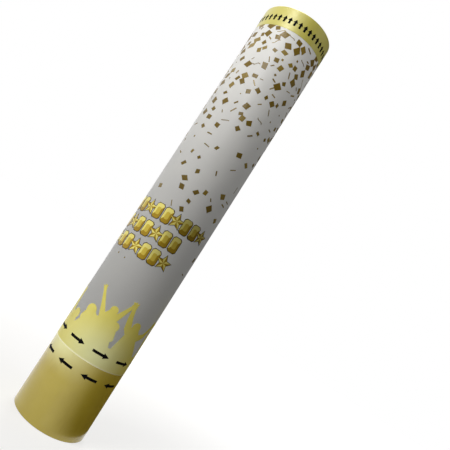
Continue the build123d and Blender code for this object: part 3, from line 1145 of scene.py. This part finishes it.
@dataclass
class OrnamentRows:
    """Three rows of faceted gems and stars in gold with a dark outline; the facets are in painted light and
    painted shade.

    Attributes:
        heights: Heights of the rows' middles.
        right_ends: Turns at which the rows end on the right.
        centre: Turn of every row's middle.
        pitch: Turn from one ornament to the next.
        star_every: Every so many ornaments one is a star.
        gem_half: Half the width and height of a gem.
        gem_cut: How much of its corners a gem lacks.
        table_share: Size of a gem's flat top, as a share of the gem.
        star_radii: Radii of a star's points and notches.
        star_points: How many points a star has.
        border: Width of the outline.
        clear: Bare paper kept round the rows.
    """

    heights: tuple[float, ...] = (144.6 * MM, 131.9 * MM, 119.2 * MM)
    right_ends: tuple[float, ...] = (63.0, 28.3, 39.4)
    centre: float = -45.0
    pitch: float = 15.6
    star_every: int = 3
    gem_half: Pair = (2.75 * MM, 4.9 * MM)
    gem_cut: float = 1.2 * MM
    table_share: float = 0.5
    star_radii: Pair = (4.9 * MM, 2.3 * MM)
    star_points: int = 5
    border: float = 0.4 * MM
    clear: float = 3.0 * MM

    def build(self) -> None:
        """Prints the rows, one piece for each ink."""
        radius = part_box("barrel_label")[1].x
        sheets = {tone: PrintSheet(radius, layer=0 if tone is Tone.OUTLINE else 1) for tone in Tone}
        for row, (height, end) in enumerate(zip(self.heights, self.right_ends)):
            half = math.floor((end - self.centre - self.pitch / 2) / self.pitch)
            for number in range(-half, half + 1):
                spot = sheets[Tone.OUTLINE].spot(self.centre + number * self.pitch, height)
                if (number + row) % self.star_every:
                    self._gem(sheets, spot)
                else:
                    self._star(sheets, spot)
        for tone, sheet in sheets.items():
            sheet.thicken()
            new_piece(tone.value.name, sheet.wrap(), tone.value, Body.BARREL)

    def covers(self, turn: float, height: float) -> bool:
        """Tells whether a place lies on a row or in the bare paper round it.

        Args:
            turn: The place's turn.
            height: Its height.

        Returns:
            Whether it does.
        """
        for row, end in zip(self.heights, self.right_ends):
            near = abs(height - row) < self.gem_half[1] + self.clear
            if near and abs(turn - self.centre) < end - self.centre + self.pitch / 2:
                return True
        return False

    def _octagon(self, share: float, margin: float) -> list[Pair]:
        """Lays out a gem's outline.

        Args:
            share: Its size, as a share of the gem's.
            margin: How much is added all round.

        Returns:
            The corners in order, from the lower right.
        """
        wide, tall = (half * share + margin for half in self.gem_half)
        cut = self.gem_cut * share
        side, end = wide - cut, tall - cut
        right = [(side, -tall), (wide, -end), (wide, end), (side, tall)]
        return right + [(-x, -y) for x, y in right]

    def _gem(self, sheets: dict[Tone, PrintSheet], spot: Vector) -> None:
        """Adds a gem: a flat table and eight facets, in painted light towards the upper left and in painted
        shade towards the lower right.

        Args:
            sheets: The sheet of each ink.
            spot: The gem's middle.
        """
        sheets[Tone.OUTLINE].polygon(self._octagon(1.0, self.border), spot)
        rim, table = self._octagon(1.0, 0.0), self._octagon(self.table_share, 0.0)
        sheets[Tone.MIDDLE].polygon(table, spot)
        for number in range(len(rim)):
            after = (number + 1) % len(rim)
            facet = [rim[number], rim[after], table[after], table[number]]
            # Painted light on the upper-left facets, painted shade on the rest.
            tone = Tone.LIGHT if facet[0][1] + facet[1][1] > facet[0][0] + facet[1][0] else Tone.DARK
            sheets[tone].polygon(facet, spot)

    def _star_outline(self, margin: float) -> list[Pair]:
        """Lays out a star's outline.

        Args:
            margin: How much is added to the notches; the points grow with them.

        Returns:
            The corners in order, from the upper point.
        """
        outer, inner = self.star_radii
        radii = (outer + margin * outer / inner, inner + margin)
        corners = []
        for number in range(2 * self.star_points):
            angle = math.pi / 2 + number * math.pi / self.star_points
            corners.append((radii[number % 2] * math.cos(angle), radii[number % 2] * math.sin(angle)))
        return corners

    def _star(self, sheets: dict[Tone, PrintSheet], spot: Vector) -> None:
        """Adds a star whose points each have a half in painted light and a half in painted shade.

        Args:
            sheets: The sheet of each ink.
            spot: The star's middle.
        """
        sheets[Tone.OUTLINE].polygon(self._star_outline(self.border), spot)
        rim = self._star_outline(0.0)
        for number, corner in enumerate(rim):
            after = rim[(number + 1) % len(rim)]
            # Painted light and painted shade alternate on the points' halves.
            tone = Tone.DARK if number % 2 else Tone.LIGHT
            sheets[tone].polygon([(0.0, 0.0), corner, after], spot)


class FlakeKind(Enum):
    """The kinds of printed flakes."""

    SQUARE = "square"
    SLIVER = "sliver"
    STREAMER = "streamer"
    DOT = "dot"


@dataclass(frozen=True)
class FlakeZone:
    """A stretch of the barrel that is strewn with printed flakes.

    Attributes:
        count: How many flakes lie in it.
        low: Height of its lower end.
        high: Height of its upper end.
        gather: How much more of them lie towards the upper end.
        apart: Least distance of two flakes, apart from those that huddle.
        kind_shares: Shares of squares, slivers, streamers and dots.
        size_share: Size of its squares, as a share of the usual one.
    """

    count: int
    low: float
    high: float
    gather: float
    apart: float
    kind_shares: tuple[float, ...]
    size_share: float = 1.0


@dataclass
class ConfettiPrint:
    """The printed confetti that falls from the muzzle band and thins out downwards.

    Attributes:
        zones: The stretches that it covers.
        square_half: Least and greatest half width of a square.
        square_shares: Least and greatest height of a square, as a share of its width.
        sliver_half: Least and greatest half length of a sliver.
        sliver_width: Least and greatest half width of a sliver.
        streamer_half: Least and greatest half length of a streamer.
        streamer_wave: Least and greatest height of a streamer's wave.
        streamer_bend: Least and greatest half turns of the wave to either side of a streamer's middle.
        streamer_width: Half the width of a streamer.
        streamer_steps: Straight stretches of a streamer.
        dot_half: Least and greatest half width of a dot.
        skew_share: How far a flake may slant, as a share of its height.
        jitter_share: How far its corners may be off, as a share of its height.
        huddle_share: Share of the flakes that may lie nearer to others.
        huddle_gap_share: How near these may lie, as a share of the usual distance.
        light_share: Share of the flakes in the lighter ink.
        tries_each: Tries to place each flake.
        seed: Seed of the scatter.
    """

    zones: tuple[FlakeZone, ...] = (
        FlakeZone(
            count=118,
            low=262 * MM,
            high=285.8 * MM,
            gather=1.0,
            apart=4.5 * MM,
            kind_shares=(0.72, 0.14, 0.06, 0.08),
            size_share=1.06,
        ),
        FlakeZone(
            count=175,
            low=218 * MM,
            high=262 * MM,
            gather=1.2,
            apart=4.4 * MM,
            kind_shares=(0.66, 0.17, 0.08, 0.09),
        ),
        FlakeZone(
            count=112,
            low=108 * MM,
            high=218 * MM,
            gather=1.6,
            apart=5.4 * MM,
            kind_shares=(0.42, 0.36, 0.06, 0.16),
            size_share=0.88,
        ),
    )
    square_half: Pair = (1.2 * MM, 2.3 * MM)
    square_shares: Pair = (0.7, 1.0)
    sliver_half: Pair = (1.0 * MM, 2.2 * MM)
    sliver_width: Pair = (0.25 * MM, 0.5 * MM)
    streamer_half: Pair = (1.6 * MM, 2.8 * MM)
    streamer_wave: Pair = (0.4 * MM, 0.8 * MM)
    streamer_bend: Pair = (0.5, 1.0)
    streamer_width: float = 0.24 * MM
    streamer_steps: int = 8
    dot_half: Pair = (0.35 * MM, 0.7 * MM)
    skew_share: float = 0.25
    jitter_share: float = 0.16
    huddle_share: float = 0.14
    huddle_gap_share: float = 0.68
    light_share: float = 0.3
    tries_each: int = 40
    seed: int = 20

    def build(self, rows: OrnamentRows) -> None:
        """Prints the flakes clear of the ornaments.

        Args:
            rows: The ornaments that they keep clear of.
        """
        draw = random.Random(self.seed)
        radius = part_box("barrel_label")[1].x
        dark, light = PrintSheet(radius), PrintSheet(radius)
        taken: list[Vector] = []
        for zone in self.zones:
            wanted = len(taken) + zone.count
            for _ in range(zone.count * self.tries_each):
                turn = draw.uniform(-HALF_TURN, HALF_TURN)
                height = zone.high - (zone.high - zone.low) * draw.random() ** zone.gather
                spot = dark.spot(turn, height)
                near = min(((spot - other).length for other in taken), default=zone.apart)
                gap = zone.apart * (self.huddle_gap_share if draw.random() < self.huddle_share else 1.0)
                if near < gap or rows.covers(turn, height):
                    continue
                taken.append(spot)
                sheet = light if draw.random() < self.light_share else dark
                sheet.polygon(self._outline(draw, zone), spot, draw.uniform(0.0, HALF_TURN))
                if len(taken) == wanted:
                    break
        for name, sheet, finish in (("dark_flakes", dark, FLAKE_DARK), ("light_flakes", light, FLAKE_LIGHT)):
            sheet.thicken()
            new_piece(name, sheet.wrap(), finish, Body.BARREL)

    def _outline(self, draw: random.Random, zone: FlakeZone) -> list[Pair]:
        """Lays out one flake's corners about its middle.

        Args:
            draw: The seeded draw.
            zone: The stretch that it lies in.

        Returns:
            The corners in order.
        """
        kind = draw.choices(list(FlakeKind), zone.kind_shares)[0]
        if kind is FlakeKind.STREAMER:
            return self._streamer(draw)
        if kind is FlakeKind.SQUARE:
            wide = draw.uniform(*self.square_half) * zone.size_share
            tall = wide * draw.uniform(*self.square_shares)
        elif kind is FlakeKind.SLIVER:
            wide = draw.uniform(*self.sliver_half)
            tall = draw.uniform(*self.sliver_width)
        else:
            wide = draw.uniform(*self.dot_half)
            tall = wide
        skew = draw.uniform(-self.skew_share, self.skew_share) * tall
        loose = self.jitter_share * tall
        return [
            (x * wide + y * skew + draw.uniform(-loose, loose), y * tall + draw.uniform(-loose, loose))
            for x, y in ((-1, -1), (1, -1), (1, 1), (-1, 1))
        ]

    def _streamer(self, draw: random.Random) -> list[Pair]:
        """Lays out a thin wavy strip.

        Args:
            draw: The seeded draw.

        Returns:
            The corners in order.
        """
        half, wave = draw.uniform(*self.streamer_half), draw.uniform(*self.streamer_wave)
        bend = draw.uniform(*self.streamer_bend) * math.pi
        upper, lower = [], []
        for number in range(self.streamer_steps + 1):
            share = 2.0 * number / self.streamer_steps - 1.0
            middle = wave * math.sin(bend * share)
            upper.append((half * share, middle + self.streamer_width))
            lower.append((half * share, middle - self.streamer_width))
        return lower + upper[::-1]


@dataclass
class BarrelWrap:
    """The barrel's printed wrap and its cut edges.

    Attributes:
        band_width: Width of the gold band at the muzzle.
        band_layer: How many films of print lie below the band.
        seam_gap: Room left between the wrap's lower edge and the base.
        up_marks: The arrows on the band that point to the muzzle.
        turn_arrows: The arrows that show which way the barrel turns.
    """

    band_width: float = 14.4 * MM
    band_layer: int = 1
    seam_gap: float = 0.06 * MM
    up_marks: ArrowRow = ArrowRow(
        name="up_marks",
        arrow=Arrow(length=4.7 * MM, shaft=1.45 * MM, head_length=2.4 * MM, head_width=3.15 * MM),
        count=41,
        pitch=8.57,
        centre=0.0,
        height=291.5 * MM,
        spin=QUARTER_TURN,
        layer=2,
    )
    turn_arrows: ArrowRow = ArrowRow(
        name="barrel_turn_arrows",
        arrow=Arrow(length=11.2 * MM),
        count=9,
        pitch=39.2,
        centre=12.8,
        height=54.6 * MM,
        spin=0.0,
        layer=2,
    )

    def build(self) -> None:
        """Dresses the wrap and lays its prints."""
        dress(["barrel_label"], WRAP_PAPER)
        low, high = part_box("barrel_label")
        band = film_ring("barrel_label", high.z - self.band_width, high.z, self.band_layer)
        new_piece("muzzle_band", band, BAND_GOLD, Body.BARREL)
        lower_edge = film_ring("barrel_label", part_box("base_tube")[1].z + self.seam_gap, low.z)
        new_piece("barrel_lower_edge", lower_edge, PAPER_EDGE, Body.BARREL)
        upper_edge = film_ring("barrel_label", high.z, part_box("barrel_tube")[1].z)
        new_piece("barrel_upper_edge", upper_edge, PAPER_EDGE, Body.BARREL)
        self.up_marks.build("barrel_label", Body.BARREL)
        self.turn_arrows.build("barrel_label", Body.BARREL)
        CrowdPrint().build()
        rows = OrnamentRows()
        rows.build()
        ConfettiPrint().build(rows)


@dataclass
class BaseWrap:
    """The base's gold wrap and its cut edge.

    Attributes:
        turn_arrows: The arrows that show which way the base turns against the barrel.
    """

    turn_arrows: ArrowRow = ArrowRow(
        name="base_turn_arrows",
        arrow=Arrow(length=11.0 * MM),
        count=9,
        pitch=39.4,
        centre=16.6,
        height=39.2 * MM,
        spin=HALF_TURN,
    )

    def build(self) -> None:
        """Dresses the wrap and lays its prints."""
        dress(["base_label"], BASE_GOLD)
        edge = film_ring("base_label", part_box("base_label")[1].z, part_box("base_tube")[1].z)
        new_piece("base_upper_edge", edge, PAPER_EDGE, Body.BASE)
        self.turn_arrows.build("base_label", Body.BASE)


@dataclass
class MuzzleLid:
    """The foil-faced lid, with a raised bead that stiffens it.

    Attributes:
        bead_share: Radius of the bead, as a share of the lid's.
        bead_half: Half the bead's width and height.
        bead_sides: Sides of the bead's outline.
    """

    bead_share: float = 0.78
    bead_half: Pair = (0.9 * MM, 0.45 * MM)
    bead_sides: int = 16

    def build(self) -> None:
        """Dresses the lid and adds its bead."""
        dress(["muzzle_lid"], LID_FOIL)
        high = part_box("muzzle_lid")[1]
        centre = high.x * self.bead_share
        wide, tall = self.bead_half
        angles = [math.tau * number / self.bead_sides for number in range(self.bead_sides)]
        profile = [(centre + wide * math.cos(angle), high.z + tall * math.sin(angle)) for angle in angles]
        new_piece("lid_bead", spun_ring(profile), LID_FOIL, Body.LID)


@dataclass(frozen=True)
class ChargeRoom:
    """The round space that the charge fills.

    Attributes:
        radius: Its radius.
        floor: Height of its lower end.
        ceiling: Height of its upper end.
    """

    radius: float
    floor: float
    ceiling: float

    def hold(self, spot: Vector) -> Vector:
        """Returns the place in the room for a spot that may lie outside."""
        share = min(1.0, self.radius / math.hypot(spot.x, spot.y))
        return Vector((spot.x * share, spot.y * share, min(max(spot.z, self.floor), self.ceiling)))


@dataclass
class ConfettiLoad:
    """The wad and the loose foil squares that stand for the confetti charge.

    Attributes:
        layers: How many layers the charge is heaped in.
        layer_flakes: How many squares lie in a layer.
        flake_half: Half the edge of a square.
        slim_share: Width of a torn strip, as a share of a square.
        slim_every: One flake in so many is a strip.
        curl_share: Greatest curl, as a share of the half edge.
        lean: Usual lean out of the wall's direction, in radians.
        outward: Power of the draw for a flake's radius; under 1, more of them lie by the wall.
        thickness: Thickness of the foil.
        wall_gap: Room left to the charge's outline.
        seed: Seed of the heap.
    """

    layers: int = 40
    layer_flakes: int = 65
    flake_half: float = 3.75 * MM
    slim_share: float = 0.5
    slim_every: int = 3
    curl_share: float = 0.28
    lean: float = 0.5
    outward: float = 0.35
    thickness: float = 0.04 * MM
    wall_gap: float = 0.15 * MM
    seed: int = 7

    def build(self) -> None:
        """Dresses the wad and heaps the flakes, each layer in a mesh of its own, which is quicker."""
        dress(["pusher_wad"], WAD_BOARD)
        low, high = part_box("confetti_charge")
        room = ChargeRoom(high.x - self.wall_gap, low.z + self.wall_gap, high.z - self.wall_gap)
        draw = random.Random(self.seed)
        rise = (room.ceiling - room.floor) / self.layers
        heap = bmesh.new()
        for number in range(self.layers):
            layer = bmesh.new()
            for _ in range(self.layer_flakes):
                self._flake(layer, draw, room, room.floor + rise * (number + draw.random()))
            data = bpy.data.meshes.new("flake_layer")
            layer.to_mesh(data)
            layer.free()
            heap.from_mesh(data)
            bpy.data.meshes.remove(data)
        piece = new_piece("confetti_flakes", heap, CONFETTI_FOIL, Body.CHARGE)
        foil = piece.modifiers.new("foil", "SOLIDIFY")
        foil.thickness = self.thickness
        foil.offset = 0.0
        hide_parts("confetti_charge")

    def _flake(self, layer: Shape, draw: random.Random, room: ChargeRoom, height: float) -> None:
        """Adds one curled flake inside the charge's outline.

        Args:
            layer: The layer that it goes into.
            draw: The seeded draw.
            room: The space that it stays in.
            height: Height of its middle.
        """
        half = self.flake_half
        curl = draw.uniform(-self.curl_share, self.curl_share) * half
        slim = 1.0 if draw.randrange(self.slim_every) else self.slim_share
        angle = draw.uniform(0.0, math.tau)
        out = room.radius * draw.random() ** self.outward
        tilt = Matrix.Rotation(draw.gauss(0.0, self.lean), 4, "X")
        lean = tilt @ Matrix.Rotation(draw.gauss(0.0, self.lean), 4, "Y")
        facing = Matrix.Rotation(angle, 4, "Z") @ Matrix.Rotation(math.pi / 2, 4, "Y")
        turn = Matrix.Rotation(draw.uniform(0.0, math.tau), 4, "Z")
        centre = Matrix.Translation((out * math.cos(angle), out * math.sin(angle), height))
        place = centre @ facing @ lean @ turn
        for vert in bmesh.ops.create_grid(layer, x_segments=2, y_segments=1, size=half)["verts"]:
            raised = curl * (1.0 - (vert.co.x / half) ** 2)
            vert.co = room.hold(place @ Vector((vert.co.x, vert.co.y * slim, raised)))


@dataclass
class Works:
    """The card tubes, moulded pieces and inner works, which keep their CAD shapes.

    Attributes:
        finishes: Each finish with the nodes that get it.
    """

    finishes: tuple[tuple[Finish, tuple[str, ...]], ...] = (
        (BOARD, ("base_tube", "barrel_tube")),
        (WHITE_PLASTIC, ("base_bush", "base_plug", "coupling_housing")),
        (WHITE_PLASTIC, ("catch_cage", "valve_plug", "cam_sleeve")),
        (SLIP_PLASTIC, ("thrust_washer",)),
        (STEEL, ("snap_ring", "cross_pin", "spring_washer", "valve_spring", "valve_rod")),
        (ALUMINIUM, ("tank_shell", "tank_end_plate")),
        (RUBBER, ("plate_seal", "gland_seal", "fill_valve", "plug_seal", "bumper_pad")),
    )

    def build(self) -> None:
        """Gives every such node its finish."""
        for finish, nodes in self.finishes:
            dress(nodes, finish)


@dataclass
class ValveSpring:
    """The hold-down spring, which the valve squeezes against the housing as it rises.

    Attributes:
        merge: Distance within which the coil's loose corners are joined.
        joint: The joint that squeezes it; not used.
    """

    merge: float = 0.001 * MM
    joint: str = "valve_lift"

    def build(self) -> None:
        """Makes the coil one closed mesh."""
        coil = bmesh.new()
        coil.from_mesh(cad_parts["valve_spring"].data)
        bmesh.ops.remove_doubles(coil, verts=coil.verts[:], dist=self.merge)
        bmesh.ops.recalc_face_normals(coil, faces=coil.faces[:])
        piece = new_piece("coil_spring", coil, STEEL, Body.BARREL)
        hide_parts("valve_spring")
        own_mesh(piece)


class LampUse(Enum):
    """What a lamp is for, with the colour of its light."""

    LIGHT_MATT = (1.0, 0.97, 0.91)
    SHOW_IN_GLOSS = WHITE


@dataclass(frozen=True)
class Softbox:
    """A rectangular lamp that faces the tube's axis.

    Attributes:
        name: The lamp's name.
        turn: Where it stands round the tube, in degrees.
        distance: Its distance from the axis.
        height: Its height above the floor.
        aim: The height on the axis that it faces.
        size: Its width and height.
        watts: Its power.
        use: Whether it lights matt surfaces or shows in glossy ones.
        roll: Its turn about its own beam, in degrees.
    """

    name: str
    turn: float
    distance: float
    height: float
    aim: float
    size: Pair
    watts: float
    use: LampUse = LampUse.LIGHT_MATT
    roll: float = 0.0

    def hang(self) -> None:
        """Adds the lamp to the scene."""
        light = bpy.data.lights.new(self.name, "AREA")
        light.shape = "RECTANGLE"
        light.size, light.size_y = self.size
        light.energy = self.watts
        light.color = self.use.value
        lamp = bpy.data.objects.new(self.name, light)
        place = tube_place(math.radians(self.turn), self.distance, self.height)
        facing = (Vector((0.0, 0.0, self.aim)) - place).to_track_quat("-Z", "Y").to_matrix().to_4x4()
        roll = Matrix.Rotation(math.radians(self.roll), 4, "Z")
        lamp.matrix_world = Matrix.Translation(place) @ facing @ roll
        lamp.visible_camera = False
        lamp.visible_diffuse = self.use is LampUse.LIGHT_MATT
        lamp.visible_glossy = self.use is LampUse.SHOW_IN_GLOSS
        bpy.context.scene.collection.objects.link(lamp)


@dataclass(frozen=True)
class DarkCard:
    """A curved card round one side of the popper, white at its first end, which only reflections show.

    Attributes:
        name: The card's name.
        first: Turn of its first end.
        inner: Radius and height of one edge.
        outer: Radius and height of the other edge.
        tone: The colour that it darkens to.
        fade: Turn over which it darkens, from its first end.
        last: Turn of its last end.
        steps: Straight stretches that its curve is made of.
    """

    name: str
    first: float
    inner: Pair
    outer: Pair
    tone: Color
    fade: float
    last: float = 179.0
    steps: int = 24

    def stand(self) -> None:
        """Adds the card to the stage."""
        start, end = math.radians(self.first), math.radians(self.last)
        mesh = bmesh.new()
        mesh.edges.new([mesh.verts.new(tube_place(start, *edge)) for edge in (self.inner, self.outer)])
        spin_round(mesh, end - start, self.steps, closed=False)
        card = stage_piece(self.name, mesh, self._surface)
        card.visible_camera = False
        card.visible_diffuse = False
        card.visible_shadow = False

    def _surface(self, build: NodeBuilder) -> Socket:
        """Adds the glow that reflections show.

        Args:
            build: The builder of the material's tree.

        Returns:
            The shader.
        """
        turn = EFFECTS.places(build, build.object_point())["Turn"]
        start, end = turn_share(self.first), turn_share(self.first + self.fade)
        shade = build.mixed(build.ranged(turn, (start, 0.0), (end, 1.0)), WHITE, self.tone)
        return build.add("ShaderNodeEmission", {"Color": shade}).outputs[0]


@dataclass
class Studio:
    """Floor, white surroundings, softboxes and the camera at the photograph's angle.

    Attributes:
        camera_place: Where the camera stands.
        yaw: Its heading from +Y towards +X, in degrees.
        pitch: Its tilt above the horizon, in degrees.
        roll: Its roll, in degrees.
        focal_pixels: Focal length in pixels of the photograph.
        axis_pixels: Where the lens's axis meets the photograph, which is cropped off its middle.
        image_pixels: Side of the photograph.
        sensor: Width of the camera's sensor, in millimetres.
        near_clip: Nearest distance that the camera sees.
        floor_half: Half the floor's side.
        floor_color: Colour of the floor.
        glow_near: A distance near the popper and the strength of the floor's white glow there.
        glow_far: The same, far from it.
        ambient: Strength of the surroundings' light.
        softboxes: The lamps.
        cards: The dark cards.
    """

    camera_place: tuple[float, float, float] = (0.0, -306.58 * MM, 120.37 * MM)
    yaw: float = 0.469
    pitch: float = 5.204
    roll: float = 32.67
    focal_pixels: float = 468.57
    axis_pixels: Pair = (180.0, 221.0)
    image_pixels: int = 450
    sensor: float = 36.0
    near_clip: float = 10 * MM
    floor_half: float = 3.0
    floor_color: Color = (0.32, 0.32, 0.32)
    glow_near: Pair = (0.02, 0.7)
    glow_far: Pair = (0.5, 1.0)
    ambient: float = 0.05
    softboxes: tuple[Softbox, ...] = (
        Softbox(
            "key_softbox", turn=-46.0, distance=0.28, height=0.43, aim=0.27, size=(0.18, 0.18), watts=1.15
        ),
        Softbox(
            "fill_softbox", turn=72.0, distance=0.25, height=0.45, aim=0.28, size=(0.18, 0.18), watts=0.38
        ),
        Softbox(
            "back_softbox", turn=HALF_TURN, distance=0.4, height=0.4, aim=0.17, size=(0.2, 0.3), watts=1.3
        ),
        Softbox(
            "highlight_strip",
            turn=-26.0,
            distance=0.45,
            height=0.464,
            aim=0.262,
            size=(0.29, 0.12),
            watts=0.68,
            use=LampUse.SHOW_IN_GLOSS,
            roll=-30.0,
        ),
        Softbox(
            "low_reflector",
            turn=-70.0,
            distance=0.2,
            height=0.035,
            aim=0.045,
            size=(0.4, 0.07),
            watts=0.05,
            use=LampUse.SHOW_IN_GLOSS,
        ),
    )
    cards: tuple[DarkCard, ...] = (
        DarkCard(
            "floor_card",
            first=-10.0,
            inner=(0.03, 0.001),
            outer=(0.2, 0.001),
            tone=(0.14, 0.1, 0.015),
            fade=75.0,
        ),
        DarkCard(
            "low_card", first=0.0, inner=(0.2, 0.001), outer=(0.2, 0.09), tone=(0.18, 0.15, 0.04), fade=110.0
        ),
        DarkCard(
            "middle_card", first=-60.0, inner=(0.2, 0.09), outer=(0.2, 0.25), tone=(0.1, 0.1, 0.1), fade=75.0
        ),
        DarkCard(
            "high_card", first=-8.0, inner=(0.2, 0.25), outer=(0.2, 0.75), tone=(0.1, 0.1, 0.1), fade=30.0
        ),
    )

    def build(self) -> None:
        """Makes the stage, the lamps and the camera."""
        bpy.context.scene.view_settings.view_transform = "Standard"
        self.floor()
        self.surroundings()
        for softbox in self.softboxes:
            softbox.hang()
        for card in self.cards:
            card.stand()
        self.camera()

    def floor(self) -> None:
        """Lays a pale floor that keeps the popper's shadow and shows white to the camera."""
        mesh = bmesh.new()
        bmesh.ops.create_grid(mesh, x_segments=1, y_segments=1, size=self.floor_half)
        stage_piece("floor", mesh, self._floor_surface)

    def _floor_surface(self, build: NodeBuilder) -> Socket:
        """Adds a matt floor with a glow that grows away from the popper.

        Args:
            build: The builder of the material's tree.

        Returns:
            The shader.
        """
        point = build.object_point()
        away = build.add("ShaderNodeVectorMath", {0: point}, operation="LENGTH").outputs["Value"]
        glow = build.math("MULTIPLY", self._seen(build), build.ranged(away, self.glow_near, self.glow_far))
        matt = build.add("ShaderNodeBsdfDiffuse", {"Color": self.floor_color}).outputs[0]
        lit = build.add("ShaderNodeEmission", {"Strength": glow}).outputs[0]
        return build.add("ShaderNodeAddShader", {0: matt, 1: lit}).outputs[0]

    @staticmethod
    def _seen(build: NodeBuilder) -> Socket:
        """Adds the test for rays that show the background.

        Args:
            build: The builder of the tree.

        Returns:
            1 for rays from the camera, a mirror or glass, and 0 for the rest.
        """
        path = build.add("ShaderNodeLightPath").outputs
        direct = build.math("MAXIMUM", path["Is Camera Ray"], path["Is Glossy Ray"])
        return build.math("MAXIMUM", direct, path["Is Transmission Ray"])

    def surroundings(self) -> None:
        """Makes the world white where it is seen and a dim grey where it only lights."""
        world = bpy.data.worlds.new("white_surroundings")
        world.use_nodes = True
        bpy.context.scene.world = world
        build = NodeBuilder(world.node_tree)
        background = world.node_tree.nodes["Background"].inputs
        build.fill(background["Color"], WHITE)
        build.fill(background["Strength"], build.ranged(self._seen(build), (0.0, self.ambient), (1.0, 1.0)))

    def camera(self) -> None:
        """Sets the camera where the photograph was taken from."""
        data = bpy.data.cameras.new("photo_camera")
        data.sensor_width = self.sensor
        data.lens = self.focal_pixels * self.sensor / self.image_pixels
        across, down = (place / self.image_pixels for place in self.axis_pixels)
        data.shift_x = MIDDLE_SHARE - across
        data.shift_y = down - MIDDLE_SHARE
        data.clip_start = self.near_clip
        camera = bpy.data.objects.new("photo_camera", data)
        heading = Matrix.Rotation(-math.radians(self.yaw), 4, "Z")
        tilt = Matrix.Rotation(math.radians(QUARTER_TURN + self.pitch), 4, "X")
        roll = Matrix.Rotation(math.radians(self.roll), 4, "Z")
        camera.matrix_world = Matrix.Translation(self.camera_place) @ heading @ tilt @ roll
        bpy.context.scene.collection.objects.link(camera)
        bpy.context.scene.camera = camera


def corners(box: tuple[Vector, Vector]) -> list[list[float]]:
    """Returns a box's two corners as plain lists."""
    return [list(corner) for corner in box]


def main() -> None:
    """Builds the popper's looks."""
    logging.basicConfig(level=logging.INFO, format="%(name)s: %(message)s")
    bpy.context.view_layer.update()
    for part in (Works(), ValveSpring(), BarrelWrap(), BaseWrap(), MuzzleLid(), ConfettiLoad(), Studio()):
        part.build()


if __name__ == "__main__":
    main()
